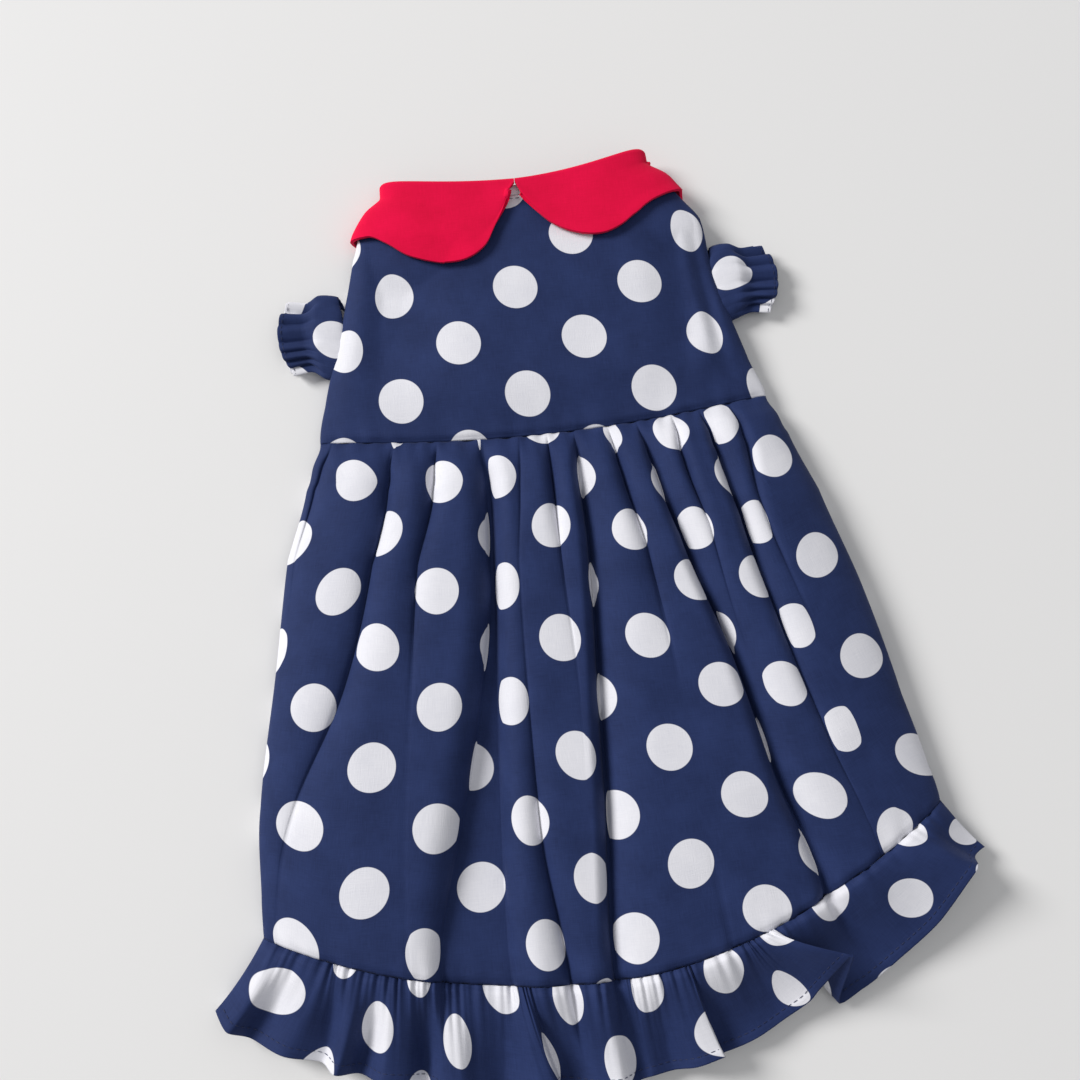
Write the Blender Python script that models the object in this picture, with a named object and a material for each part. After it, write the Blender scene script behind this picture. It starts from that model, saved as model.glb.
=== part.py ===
"""A small cotton dress for a cat, lying flat with its collar towards +Y.

The dress is a flattened tube: the layer below lies on the ground, the layer above is puffed up.
Every cloth piece is a wall round an open hollow. Lengths are in metres, +Z is up, and the origin
is on the underside of the skirt, in the middle of the dress's length.
"""
import math

import bmesh
import bpy
from mathutils import Vector

# Driving dimensions
BODICE_LENGTH = 0.108
WAIST_WIDTH = 0.2015
NECK_WIDTH = 0.120
SKIRT_LENGTH = 0.232
SKIRT_HEM_WIDTH = 0.2854
RUFFLE_DEPTH = 0.040
WAIST_FROM_ORIGIN = 0.076
COTTON_WALL = 0.0012
BINDING_WALL = 0.0020
COLLAR_WALL = 0.0022
SEAM_GAP = 0.0003

# Heights of the layer above, and of the roll at each side
WAIST_HEIGHT = 0.0125
BODICE_PUFF = 0.0160
NECK_HEIGHT = 0.0135
SKIRT_PUFF = 0.0230
SKIRT_HEM_HEIGHT = 0.0195
RUFFLE_PUFF = 0.0240
SIDE_ROLL = 0.0065
HOLLOW = 0.0055
CROSS_ROUND = 5.5

# The neck edge rises to both sides, the waist seam sags in the middle, and the skirt's hem
# lifts to both sides, more on the right, because the dress lies slightly askew
NECK_LIFT_LEFT = 0.006
NECK_LIFT_RIGHT = 0.010
WAIST_SAG = 0.008
HEM_LIFT_LEFT = 0.032
HEM_LIFT_RIGHT = 0.055
BACK_HEM_LIFT = 0.018

BINDING_WIDTH = 0.005
COLLAR_DROP = 0.042
COLLAR_BACK_DROP = 0.024
COLLAR_OPENING = 0.0030
COLLAR_EASE = 0.0008
SLEEVE_REACH = 0.029
SLEEVE_WIDTH = 0.040
SLEEVE_HEIGHT = 0.0105
SLEEVE_SINK = 0.012

# Bodice sections: how far up (share of the length), how far from the waist's width to the
# neck's width, and how far the section is shifted to the right (share of the waist's width)
BODICE_SECTIONS = (
    # up, narrowing, shift
    (0.00, 0.000, 0.006),
    (0.15, 0.102, 0.002),
    (0.35, 0.245, 0.003),
    (0.55, 0.377, 0.007),
    (0.75, 0.488, 0.016),
    (0.85, 0.627, 0.006),
    (0.93, 0.779, 0.005),
    (1.00, 1.000, 0.002),
)

# Bodice folds: where they run (share of the half width) and how deep they are (share of the
# bodice's puff) at four heights, and how wide they fall away to each side (share of the half width)
BODICE_HEIGHTS = (0.0, 0.35, 0.70, 1.0)
BODICE_FOLDS = (
    # place at four heights, depth at four heights, run to the left, run to the right
    ((-0.74, -0.74, -0.76, -0.80), (0.00, 0.22, 0.24, 0.08), 0.18, 0.46),
    ((0.62, 0.76, 0.80, 0.80), (0.00, 0.14, 0.10, 0.02), 0.20, 0.12),
    ((0.86, 0.90, 0.92, 0.92), (0.00, 0.12, 0.06, 0.00), 0.07, 0.06),
)

# Skirt sections: how far down (share of the length), how far from the waist's width to the
# hem's width, shift to the right (share of the hem's width), height (share of the puff)
SKIRT_SECTIONS = (
    # down, flare, shift, height
    (0.00, 0.000, 0.0043, 0.00),
    (0.05, 0.095, 0.0040, 0.52),
    (0.10, 0.177, 0.0032, 0.78),
    (0.25, 0.416, 0.0019, 1.00),
    (0.50, 0.667, 0.0070, 1.00),
    (0.75, 0.878, 0.0049, 0.94),
    (0.92, 0.970, 0.0120, 0.88),
    (1.00, 1.000, 0.0158, 0.66),
)

# Skirt folds, from the left to the right: where they run (share of the half width) and how deep
# they are (share of the puff) at six heights, how wide their floor is there, and how wide they
# fall away to each side (share of the half width)
SKIRT_HEIGHTS = (0.0, 0.10, 0.25, 0.50, 0.75, 1.0)
SKIRT_FOLDS = (
    # place, depth, floor, run to the left, run to the right
    ((-0.950, -0.962, -0.967, -0.967, -0.967, -0.967), (0.20, 0.26, 0.06, 0.00, 0.00, 0.00), 0.0, 0.03, 0.06),
    ((-0.674, -0.664, -0.683, -0.769, -0.900, -0.960), (0.16, 0.34, 0.32, 0.30, 0.16, 0.02), 0.0, 0.16, 0.12),
    ((-0.484, -0.483, -0.519, -0.546, -0.560, -0.580), (0.16, 0.34, 0.22, 0.04, 0.02, 0.02), 0.0, 0.09, 0.09),
    ((-0.290, -0.265, -0.254, -0.319, -0.402, -0.500), (0.20, 0.50, 0.56, 0.56, 0.50, 0.34), 1.0, 0.10, 0.09),
    ((-0.120, -0.130, -0.150, -0.168, -0.160, -0.140), (0.06, 0.10, 0.04, 0.08, 0.26, 0.34), 0.0, 0.08, 0.08),
    ((0.002, 0.003, 0.004, 0.000, -0.020, -0.040), (0.14, 0.30, 0.10, 0.02, 0.00, 0.00), 0.0, 0.06, 0.06),
    ((0.122, 0.111, 0.107, 0.061, 0.035, -0.015), (0.18, 0.42, 0.50, 0.52, 0.50, 0.40), 0.0, 0.045, 0.17),
    ((0.276, 0.286, 0.315, 0.320, 0.320, 0.320), (0.16, 0.34, 0.20, 0.02, 0.00, 0.06), 0.0, 0.07, 0.08),
    ((0.403, 0.417, 0.449, 0.516, 0.562, 0.610), (0.18, 0.40, 0.46, 0.50, 0.52, 0.40), 0.0, 0.05, 0.15),
    ((0.562, 0.540, 0.553, 0.560, 0.660, 0.760), (0.14, 0.28, 0.10, 0.02, 0.00, 0.00), 0.0, 0.05, 0.05),
    ((0.686, 0.683, 0.679, 0.690, 0.737, 0.780), (0.16, 0.38, 0.42, 0.26, 0.10, 0.02), 0.0, 0.05, 0.10),
    ((0.824, 0.806, 0.760, 0.780, 0.820, 0.860), (0.14, 0.30, 0.14, 0.02, 0.00, 0.00), 0.0, 0.05, 0.05),
)
# The widest fold opens downwards to a channel: the width of its floor at the same heights
CHANNEL_FLOOR = (0.008, 0.010, 0.010, 0.048, 0.125, 0.200)

# Ruffle waves, from the left side to the right side: where each starts on the seam (share of the
# half width), how far its hem lies to the right and down from there (shares of the ruffle's
# depth), and the hem's height (share of the ruffle's puff)
RUFFLE_WAVES = (
    # seam, right, down, height
    (-1.000, -0.53, 0.65, 0.27),
    (-0.950, -0.57, 0.78, 0.46),
    (-0.896, -0.59, 0.78, 0.18),
    (-0.816, -0.52, 0.86, 0.42),
    (-0.781, -0.28, 0.93, 0.22),
    (-0.725, -0.33, 0.97, 0.52),
    (-0.676, -0.30, 0.95, 0.18),
    (-0.634, -0.18, 1.00, 0.56),
    (-0.592, -0.10, 1.00, 0.46),
    (-0.547, -0.10, 1.00, 0.17),
    (-0.508, -0.08, 1.01, 0.52),
    (-0.466, -0.03, 1.03, 0.60),
    (-0.410, -0.05, 1.03, 0.40),
    (-0.333, -0.09, 1.02, 0.24),
    (-0.291, 0.18, 1.02, 0.64),
    (-0.267, 0.24, 1.00, 0.58),
    (-0.246, 0.20, 1.00, 0.20),
    (-0.172, 0.12, 1.01, 0.26),
    (-0.102, 0.05, 1.02, 0.46),
    (-0.039, 0.03, 1.02, 0.56),
    (0.004, 0.10, 0.98, 0.24),
    (0.039, 0.08, 0.96, 0.32),
    (0.088, 0.11, 0.95, 0.24),
    (0.137, 0.17, 0.94, 0.54),
    (0.186, 0.26, 0.90, 0.62),
    (0.200, 0.26, 0.90, 0.22),
    (0.277, 0.30, 0.86, 0.34),
    (0.347, 0.35, 0.79, 0.30),
    (0.368, 0.55, 0.66, 0.42),
    (0.389, 0.60, 0.55, 0.58),
    (0.431, 0.76, 0.30, 1.00),
    (0.473, 0.50, 0.84, 0.24),
    (0.557, 0.48, 0.86, 0.20),
    (0.648, 0.52, 0.78, 0.32),
    (0.753, 0.65, 0.60, 0.52),
    (0.865, 0.62, 0.42, 0.76),
    (0.935, 0.46, 0.44, 0.40),
    (1.000, 0.37, 0.52, 0.27),
)

# Collar flaps: where a line across the flap leaves the neck (share of the half width), where it
# meets the flap's edge, and how far down the edge lies there (share of the collar's drop)
COLLAR_LEFT_FLAP = (
    # neck, edge, drop
    (0.010, 0.060, 0.18),
    (0.060, 0.115, 0.42),
    (0.140, 0.175, 0.64),
    (0.250, 0.250, 0.84),
    (0.380, 0.345, 0.97),
    (0.500, 0.450, 1.00),
    (0.620, 0.570, 0.97),
    (0.740, 0.690, 0.90),
    (0.840, 0.810, 0.76),
    (0.930, 0.920, 0.67),
    (1.000, 1.000, 0.68),
)
COLLAR_RIGHT_FLAP = (
    # neck, edge, drop
    (0.010, 0.040, 0.22),
    (0.050, 0.100, 0.43),
    (0.130, 0.180, 0.63),
    (0.230, 0.260, 0.76),
    (0.340, 0.350, 0.84),
    (0.460, 0.440, 0.87),
    (0.580, 0.550, 0.83),
    (0.700, 0.660, 0.75),
    (0.820, 0.800, 0.65),
    (0.920, 0.920, 0.60),
    (1.000, 1.000, 0.58),
)

# Sleeve sections, from inside the bodice to the hem: reach (share of the sleeve's reach), middle
# (share of the bodice's length), length along the side (share of the sleeve's width), height
# (share of the sleeve's height)
SLEEVE_LEFT_SECTIONS = (
    # reach, middle, width, height
    (0.00, 0.455, 0.92, 0.86),
    (0.30, 0.462, 1.04, 0.96),
    (0.55, 0.475, 1.02, 1.00),
    (0.74, 0.485, 0.84, 0.80),
    (1.00, 0.485, 0.90, 0.86),
)
SLEEVE_RIGHT_SECTIONS = (
    # reach, middle, width, height
    (0.00, 0.500, 0.92, 0.86),
    (0.30, 0.520, 0.98, 0.96),
    (0.55, 0.535, 0.92, 1.00),
    (0.74, 0.535, 0.80, 0.80),
    (1.00, 0.530, 0.84, 0.86),
)
SLEEVE_HEM_BOW = 0.20
SLEEVE_PLEATS = 9
SLEEVE_PLEAT_DEPTH = 0.10

# Mesh steps
STEPS_ACROSS_PANEL = (0.0, 0.10, 0.32, 0.68, 0.90)
BACK_STEPS = 8
ROLL_STEPS = 3
SLEEVE_STEPS = 26
TINY = 0.002
BODICE_ROWS = (0.0, 0.10, 0.22, 0.35, 0.48, 0.60, 0.72, 0.79, 0.85, 0.93, 1.0)
SKIRT_ROWS = (0.0, 0.04, 0.10, 0.20, 0.32, 0.46, 0.60, 0.74, 0.86, 0.95, 1.0)
RUFFLE_ROWS = (0.0, 0.18, 0.42, 0.70, 1.0)
COLLAR_STEPS = (0.0, 0.20, 0.42, 0.64, 0.84, 1.0)
COLLAR_TURNS = (0.010, 0.06, 0.14, 0.25, 0.38, 0.50, 0.62, 0.74, 0.84, 0.90, 0.94, 0.97, 0.99, 1.0)
COLLAR_UNDER_TURNS = (1.34, 1.67, 2.0, 2.2, 2.45, 2.75)

# Colours, roughness
NAVY = (0.018, 0.026, 0.100)
CRIMSON = (0.620, 0.006, 0.045)
CLOTH_ROUGHNESS = 0.85


def clear_scene():
    for item in list(bpy.data.objects):
        bpy.data.objects.remove(item, do_unlink=True)


def column(table, index):
    return [row[index] for row in table]


def eased(position, stations, values):
    """The value at a position, eased between the stations."""
    last = len(stations) - 1
    if position <= stations[0]:
        return values[0]
    for index in range(last):
        start = stations[index]
        end = stations[index + 1]
        if position <= end:
            share = (position - start) / (end - start)
            before = values[max(index - 1, 0)]
            after = values[min(index + 2, last)]
            return hermite(before, values[index], values[index + 1], after, share)
    return values[last]


def hermite(before, start, end, after, share):
    """A cubic through start and end that doesn't overshoot a crest or a dip."""
    slope_start = 0.5 * (end - before)
    slope_end = 0.5 * (after - start)
    if (end - start) * (start - before) <= 0:
        slope_start = 0.0
    if (end - start) * (after - end) <= 0:
        slope_end = 0.0
    square = share * share
    cube = square * share
    return (
        (2 * cube - 3 * square + 1) * start
        + (cube - 2 * square + share) * slope_start
        + (3 * square - 2 * cube) * end
        + (cube - square) * slope_end
    )


def mixed(start, end, share):
    return start + (end - start) * share


def pinched(distance):
    """The depth of a fold, 1 on its line and 0 past its run, with round shoulders."""
    near = min(max(distance, 0.0), 1.0)
    return 1.0 - math.sqrt(near * (2.0 - near))


def side_round(across, power):
    """How far a section has risen from its side roll."""
    return math.sqrt(max(0.0, 1.0 - abs(across) ** power))


def fold_depth(across, down, folds, heights, channel=None):
    """The depth of all the folds at one point, as a share of the puff."""
    depth = 0.0
    for place, depths, floor, left_run, right_run in folds:
        line = eased(down, heights, place)
        width = floor * eased(down, heights, channel) if channel else 0.0
        if across < line:
            away = (line - across) / left_run
        elif across > line + width:
            away = (across - line - width) / right_run
        else:
            away = 0.0
        depth += eased(down, heights, depths) * pinched(away)
    return depth


def bodice_width(up):
    narrowing = eased(up, column(BODICE_SECTIONS, 0), column(BODICE_SECTIONS, 1))
    return mixed(WAIST_WIDTH, NECK_WIDTH, narrowing)


def bodice_shift(up):
    return WAIST_WIDTH * eased(up, column(BODICE_SECTIONS, 0), column(BODICE_SECTIONS, 2))


def bodice_lift(across):
    return (NECK_LIFT_LEFT if across < 0 else NECK_LIFT_RIGHT) * across * across


def bodice_y(across, up):
    waist = -WAIST_SAG * (1.0 - across * across)
    neck = BODICE_LENGTH + bodice_lift(across)
    return WAIST_FROM_ORIGIN + mixed(waist, neck, up)


def under_level(up):
    """The underside rises towards the neck, to lie on the collar's lower flap."""
    flap = COLLAR_WALL + COLLAR_EASE
    start = 1.0 - 1.9 * COLLAR_BACK_DROP / BODICE_LENGTH
    end = 1.0 - 1.2 * COLLAR_BACK_DROP / BODICE_LENGTH
    return flap * eased(up, (start, end), (0.0, 1.0))


def bodice_height(up):
    return eased(up, (0.0, 0.25, 0.70, 1.0), (WAIST_HEIGHT, BODICE_PUFF, BODICE_PUFF, NECK_HEIGHT))


def bodice_folds():
    return [(place, depths, 0.0, left, right) for place, depths, left, right in BODICE_FOLDS]


def bodice_point(across, up, grow=0.0):
    """A point of the bodice's upper layer, moved outwards by grow."""
    half = bodice_width(up) / 2
    level = under_level(up)
    rise = bodice_height(up) - SIDE_ROLL - level + grow
    depth = BODICE_PUFF * fold_depth(across, up, bodice_folds(), BODICE_HEIGHTS)
    height = level + SIDE_ROLL + rise * side_round(across, CROSS_ROUND)
    lowest = level + SIDE_ROLL + min(rise, HOLLOW) * side_round(across, CROSS_ROUND)
    x = bodice_shift(up) + (half + grow) * across
    return Vector((x, bodice_y(across, up), max(height - depth, lowest)))


def under_points(left, right, level, roll, y_at, grow=0.0):
    """The lower layer, from the right side to the left side: a quarter roll, a flat and a roll."""
    width = right - left + 2 * grow
    middle = (left + right) / 2
    radius = roll + grow
    shape = []
    for step in range(1, ROLL_STEPS + 1):
        angle = 0.5 * math.pi * step / ROLL_STEPS
        inset = radius * (1.0 - math.cos(angle))
        shape.append((width / 2 - inset, radius * (1.0 - math.sin(angle))))
    flat_half = width / 2 - radius
    flat = [(flat_half * (1.0 - 2.0 * step / BACK_STEPS), 0.0) for step in range(1, BACK_STEPS)]
    mirrored = [(-offset, height) for offset, height in reversed(shape)]
    points = []
    for offset, height in shape + flat + mirrored:
        across = 2 * offset / width
        points.append(Vector((middle + offset, y_at(across), level - grow + height)))
    return points


def panel_columns(lines, ends=(-1.0, 1.0)):
    """Places across a section: close together near each fold line, wide apart between."""
    stops = [ends[0]] + list(lines) + [ends[1]]
    places = []
    for start, end in zip(stops, stops[1:]):
        places += [mixed(start, end, step) for step in STEPS_ACROSS_PANEL]
    return places + [ends[1]]


def bodice_loop(up, grow=0.0):
    lines = [eased(up, BODICE_HEIGHTS, fold[0]) for fold in BODICE_FOLDS]
    lines = lines[:1] + [-0.25, 0.20] + lines[1:]
    upper = [bodice_point(across, up, grow) for across in panel_columns(lines)]
    left = upper[0].x + grow
    right = upper[-1].x - grow

    def y_at(across):
        return WAIST_FROM_ORIGIN + mixed(0.0, BODICE_LENGTH + bodice_lift(across), up)

    return upper + under_points(left, right, under_level(up), SIDE_ROLL, y_at, grow)


def skirt_half(down):
    flare = eased(down, column(SKIRT_SECTIONS, 0), column(SKIRT_SECTIONS, 1))
    return mixed(WAIST_WIDTH, SKIRT_HEM_WIDTH, flare) / 2


def skirt_shift(down):
    shift = eased(down, column(SKIRT_SECTIONS, 0), column(SKIRT_SECTIONS, 2))
    waist_shift = bodice_shift(0.0)
    return mixed(waist_shift, SKIRT_HEM_WIDTH * shift, min(down * 4, 1.0))


def hem_lift(across):
    if across < 0:
        return HEM_LIFT_LEFT * abs(across) ** 2.2
    return HEM_LIFT_RIGHT * across ** 1.8


def skirt_y(across, down):
    waist = -WAIST_SAG * (1.0 - across * across) - SEAM_GAP
    hem = -WAIST_SAG - SKIRT_LENGTH + hem_lift(across)
    return WAIST_FROM_ORIGIN + mixed(waist, hem, down)


def skirt_back_y(across, down):
    side = WAIST_FROM_ORIGIN - WAIST_SAG - SKIRT_LENGTH
    side += mixed(hem_lift(-1.0), hem_lift(1.0), (across + 1) / 2)
    hem = side - BACK_HEM_LIFT * (1.0 - across * across)
    return mixed(WAIST_FROM_ORIGIN - SEAM_GAP, hem, down)


def skirt_point(across, down):
    """A point of the skirt's upper layer."""
    puff = eased(down, column(SKIRT_SECTIONS, 0), column(SKIRT_SECTIONS, 3))
    height = mixed(WAIST_HEIGHT, SKIRT_PUFF, puff)
    if down > 0.75:
        height = mixed(height, SKIRT_HEM_HEIGHT, (down - 0.75) / 0.25)
    rounded = side_round(across, CROSS_ROUND)
    depth = fold_depth(across, down, SKIRT_FOLDS, SKIRT_HEIGHTS, CHANNEL_FLOOR)
    settle = min(down / 0.04, 1.0)
    top = SIDE_ROLL + (height - SIDE_ROLL) * rounded
    lowest = SIDE_ROLL + (min(HOLLOW, WAIST_HEIGHT - SIDE_ROLL)) * rounded
    z = max(top - SKIRT_PUFF * depth * settle * rounded, lowest)
    return Vector((skirt_shift(down) + skirt_half(down) * across, skirt_y(across, down), z))


def skirt_loop(down):
    lines = []
    for place, _depths, floor, _left, _right in SKIRT_FOLDS:
        line = eased(down, SKIRT_HEIGHTS, place)
        lines.append(line)
        if floor:
            lines.append(line + floor * eased(down, SKIRT_HEIGHTS, CHANNEL_FLOOR))
    upper = [skirt_point(across, down) for across in panel_columns(lines)]

    def y_at(across):
        return skirt_back_y(across, down)

    return upper + under_points(upper[0].x, upper[-1].x, 0.0, SIDE_ROLL, y_at)


def wave_values(place):
    """Seam share, shift to the right, reach down and height of the ruffle's hem at one place."""
    stations = range(len(RUFFLE_WAVES))
    return [eased(place, stations, column(RUFFLE_WAVES, index)) for index in range(4)]


def ruffle_point(place, out):
    """A point of the ruffle's upper layer: place runs over the waves, out from seam to hem."""
    across, right, down, height = wave_values(place)
    seam = skirt_point(across, 1.0)
    start = Vector((seam.x, seam.y - SEAM_GAP, seam.z))
    hem_z = RUFFLE_PUFF * height
    reach = RUFFLE_DEPTH * out
    bulge = 0.10 * RUFFLE_PUFF * math.sin(math.pi * out)
    x = start.x + right * reach * mixed(0.7, 1.0, out)
    z = mixed(start.z, hem_z, eased(out, (0.0, 0.55, 1.0), (0.0, 0.75, 1.0))) + bulge * (1 - out)
    return Vector((x, start.y - down * reach, z))


def ruffle_loop(out):
    places = []
    for index in range(len(RUFFLE_WAVES) - 1):
        places += [index, index + 0.5]
    places.append(len(RUFFLE_WAVES) - 1)
    upper = [ruffle_point(place, out) for place in places]
    left_y = upper[0].y
    right_y = upper[-1].y

    def y_at(across):
        side = mixed(left_y, right_y, (across + 1) / 2)
        return side - BACK_HEM_LIFT * (1.0 - across * across)

    roll = upper[0].z
    return upper + under_points(upper[0].x, upper[-1].x, 0.0, roll, y_at)


def wall_rows(rows, wall, seams):
    """The rows' inner face: each point moved inwards by the wall, square to the cloth.

    On a row that meets a seam the move has no part along Y, so that the seam's gap stays even.
    """
    inner = []
    last = len(rows) - 1
    for index, row in enumerate(rows):
        before = rows[max(index - 1, 0)]
        after = rows[min(index + 1, last)]
        count = len(row)
        moved = []
        for place, point in enumerate(row):
            along = row[(place + 1) % count] - row[(place - 1) % count]
            down = Vector((0.0, -1.0, 0.0)) if index in seams else after[place] - before[place]
            outward = down.cross(along).normalized()
            moved.append(point - outward * wall)
        inner.append(moved)
    return inner


def add_tube(name, rows, wall, seams, material):
    """A cloth tube whose outer face runs through the rows."""
    return add_walls(name, rows, wall_rows(rows, wall, seams), material)


def add_walls(name, rows, inner, material):
    """A cloth tube: an outer and an inner face, joined by a rim at each end."""
    mesh = bmesh.new()
    outer_verts = [[mesh.verts.new(point) for point in row] for row in rows]
    inner_verts = [[mesh.verts.new(point) for point in row] for row in inner]
    count = len(rows[0])
    for index in range(len(rows) - 1):
        for place in range(count):
            following = (place + 1) % count
            for face_rows in (outer_verts, inner_verts):
                mesh.faces.new((
                    face_rows[index][place],
                    face_rows[index + 1][place],
                    face_rows[index + 1][following],
                    face_rows[index][following],
                ))
    for index in (0, -1):
        for place in range(count):
            following = (place + 1) % count
            mesh.faces.new((
                outer_verts[index][place],
                outer_verts[index][following],
                inner_verts[index][following],
                inner_verts[index][place],
            ))
    return finish_mesh(name, mesh, material)


def finish_mesh(name, mesh, material):
    bmesh.ops.recalc_face_normals(mesh, faces=mesh.faces)
    bmesh.ops.triangulate(mesh, faces=mesh.faces)
    data = bpy.data.meshes.new(name)
    mesh.to_mesh(data)
    mesh.free()
    data.materials.append(material)
    data.shade_smooth()
    piece = bpy.data.objects.new(name, data)
    bpy.context.collection.objects.link(piece)
    data.set_sharp_from_angle(angle=math.radians(50))
    return piece


def add_plug(name, rows):
    """A closed solid through the rows, used only to cut."""
    mesh = bmesh.new()
    verts = [[mesh.verts.new(point) for point in row] for row in rows]
    count = len(rows[0])
    for index in range(len(rows) - 1):
        for place in range(count):
            following = (place + 1) % count
            mesh.faces.new((
                verts[index][place],
                verts[index + 1][place],
                verts[index + 1][following],
                verts[index][following],
            ))
    for end in (verts[0], verts[-1]):
        middle = mesh.verts.new(sum((vert.co for vert in end), Vector()) / count)
        for place in range(count):
            mesh.faces.new((end[place], end[(place + 1) % count], middle))
    bmesh.ops.recalc_face_normals(mesh, faces=mesh.faces)
    data = bpy.data.meshes.new(name)
    mesh.to_mesh(data)
    mesh.free()
    plug = bpy.data.objects.new(name, data)
    plug.hide_render = True
    plug.display_type = "WIRE"
    bpy.context.collection.objects.link(plug)
    return plug


def cut(piece, plug):
    modifier = piece.modifiers.new("Cut", "BOOLEAN")
    modifier.operation = "DIFFERENCE"
    modifier.object = plug


def neck_loop(lift):
    """A section of the neck binding, its lower edge at lift 0."""
    row = []
    for point in bodice_loop(1.0):
        row.append(point + Vector((0.0, SEAM_GAP + lift, 0.0)))
    return row


def skin_base(side, turn, y):
    """A point on the bodice near the neck.

    turn runs from 0 in the front's middle over 1 at the side, through the side roll to 2, and
    on to 3 in the middle of the lower layer.
    """
    across = side * min(turn, 1.0)
    waist_y = bodice_y(across, 0.0)
    up = min((y - waist_y) / (bodice_y(across, 1.0) - waist_y), 1.0)
    if turn <= 1.0:
        point = bodice_point(across, up)
        return Vector((point.x, y, point.z))
    half = bodice_width(up) / 2
    angle = 0.5 * math.pi * min(turn - 1.0, 1.0)
    inset = SIDE_ROLL * (1.0 - math.cos(angle))
    inset += (half - SIDE_ROLL) * max(turn - 2.0, 0.0)
    z = under_level(up) + SIDE_ROLL * (1.0 - math.sin(angle))
    return Vector((bodice_shift(up) + side * (half - inset), y, z))


def skin_point(side, turn, y, outside):
    """The point that lies this far outside the bodice, square to its cloth."""
    base = skin_base(side, turn, y)
    around = skin_base(side, turn + TINY, y) - skin_base(side, max(turn - TINY, 0.0), y)
    along = skin_base(side, turn, y - SEAM_GAP) - skin_base(side, turn, y + SEAM_GAP)
    return base + side * along.cross(around).normalized() * outside


def collar_line(side, neck, edge, drop):
    """One line across the collar, from inside the neck over its top to the flap's edge.

    Each item is a point of the outer face and the point of the inner face under it.
    """
    over = COLLAR_EASE + COLLAR_WALL
    neck_y = bodice_y(side * min(neck, 1.0), 1.0)
    top = neck_y + 3 * SEAM_GAP + BINDING_WIDTH + COLLAR_WALL
    seat = top - COLLAR_WALL
    bottom = top - drop
    inside = -0.5 * BINDING_WALL
    pairs = [
        (skin_point(side, neck, top, inside), skin_point(side, neck, seat, inside)),
        (skin_point(side, neck, top, 0.5 * over), skin_point(side, neck, seat, 0.0)),
    ]
    shoulder = top - 0.35 * COLLAR_WALL
    outer = skin_point(side, neck, shoulder, 0.88 * over)
    pairs.append((outer, skin_point(side, neck, seat, 0.9 * COLLAR_EASE)))
    start = seat - 0.3 * COLLAR_WALL
    for share in COLLAR_STEPS:
        turn = mixed(neck, edge, share)
        y = mixed(start, bottom, share)
        pairs.append((skin_point(side, turn, y, over), skin_point(side, turn, y, COLLAR_EASE)))
    return pairs


def collar_lines(side, flap):
    """Lines across one half of the collar, from the front's middle round to the back's."""
    stations = column(flap, 0)
    lines = []
    for neck in COLLAR_TURNS:
        edge = eased(neck, stations, column(flap, 1))
        drop = eased(neck, stations, column(flap, 2)) * COLLAR_DROP
        lines.append(collar_line(side, neck, edge, drop))
    side_drop = flap[-1][2] * COLLAR_DROP
    last = 3.0 - COLLAR_OPENING / NECK_WIDTH
    for turn in COLLAR_UNDER_TURNS + (last,):
        drop = mixed(side_drop, COLLAR_BACK_DROP, min(turn - 1.0, 1.0))
        lines.append(collar_line(side, turn, turn, drop))
    return lines


def add_sheet(name, lines, material):
    """A sheet of cloth through lines of paired outer and inner points."""
    mesh = bmesh.new()
    outer = [[mesh.verts.new(pair[0]) for pair in line] for line in lines]
    inner = [[mesh.verts.new(pair[1]) for pair in line] for line in lines]
    count = len(lines[0])
    for index in range(len(lines) - 1):
        for place in range(count - 1):
            for face in (outer, inner):
                mesh.faces.new((
                    face[index][place],
                    face[index + 1][place],
                    face[index + 1][place + 1],
                    face[index][place + 1],
                ))
        for place in (0, count - 1):
            mesh.faces.new((
                outer[index][place],
                outer[index + 1][place],
                inner[index + 1][place],
                inner[index][place],
            ))
    for index in (0, len(lines) - 1):
        for place in range(count - 1):
            mesh.faces.new((
                outer[index][place],
                outer[index][place + 1],
                inner[index][place + 1],
                inner[index][place],
            ))
    return finish_mesh(name, mesh, material)


def sleeve_loop(side, section, inward=0.0):
    """A section of a sleeve, a flat oval with small pleats, moved inwards by inward."""
    reach, middle, width, height = section
    up = middle
    centre_y = WAIST_FROM_ORIGIN + BODICE_LENGTH * middle
    edge = bodice_width(up) / 2
    x = mixed(edge - SLEEVE_SINK, edge + SLEEVE_REACH, reach)
    half = SLEEVE_WIDTH * width / 2 - inward
    tall = SLEEVE_HEIGHT * height / 2
    points = []
    for step in range(SLEEVE_STEPS):
        angle = 2 * math.pi * step / SLEEVE_STEPS
        pleat = 1.0 - SLEEVE_PLEAT_DEPTH * reach * (0.5 + 0.5 * math.cos(SLEEVE_PLEATS * angle))
        flat_cos = math.copysign(abs(math.cos(angle)) ** 0.8, math.cos(angle))
        flat_sin = math.copysign(abs(math.sin(angle)) ** 0.8, math.sin(angle))
        bow = SLEEVE_HEM_BOW * SLEEVE_REACH * reach * reach * flat_cos * flat_cos
        z = tall + (tall - inward) * flat_sin * (pleat if flat_sin > 0 else 1.0)
        points.append(Vector((
            bodice_shift(up) + side * (x - bow),
            centre_y + half * flat_cos * pleat,
            z,
        )))
    return points


def add_sleeve(name, side, sections, bodice, body, material):
    """A sleeve set into the bodice's side roll, and the armhole that it opens into."""
    rows = [sleeve_loop(side, section) for section in sections]
    if side < 0:
        rows = [list(reversed(row)) for row in rows]
    inner = [sleeve_loop(side, section, COTTON_WALL) for section in sections]
    if side < 0:
        inner = [list(reversed(row)) for row in inner]
    sleeve = add_walls(name, rows, inner, material)
    cut(sleeve, body)
    armhole = add_plug(name + "_armhole", inner)
    cut(bodice, armhole)
    return sleeve


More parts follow.
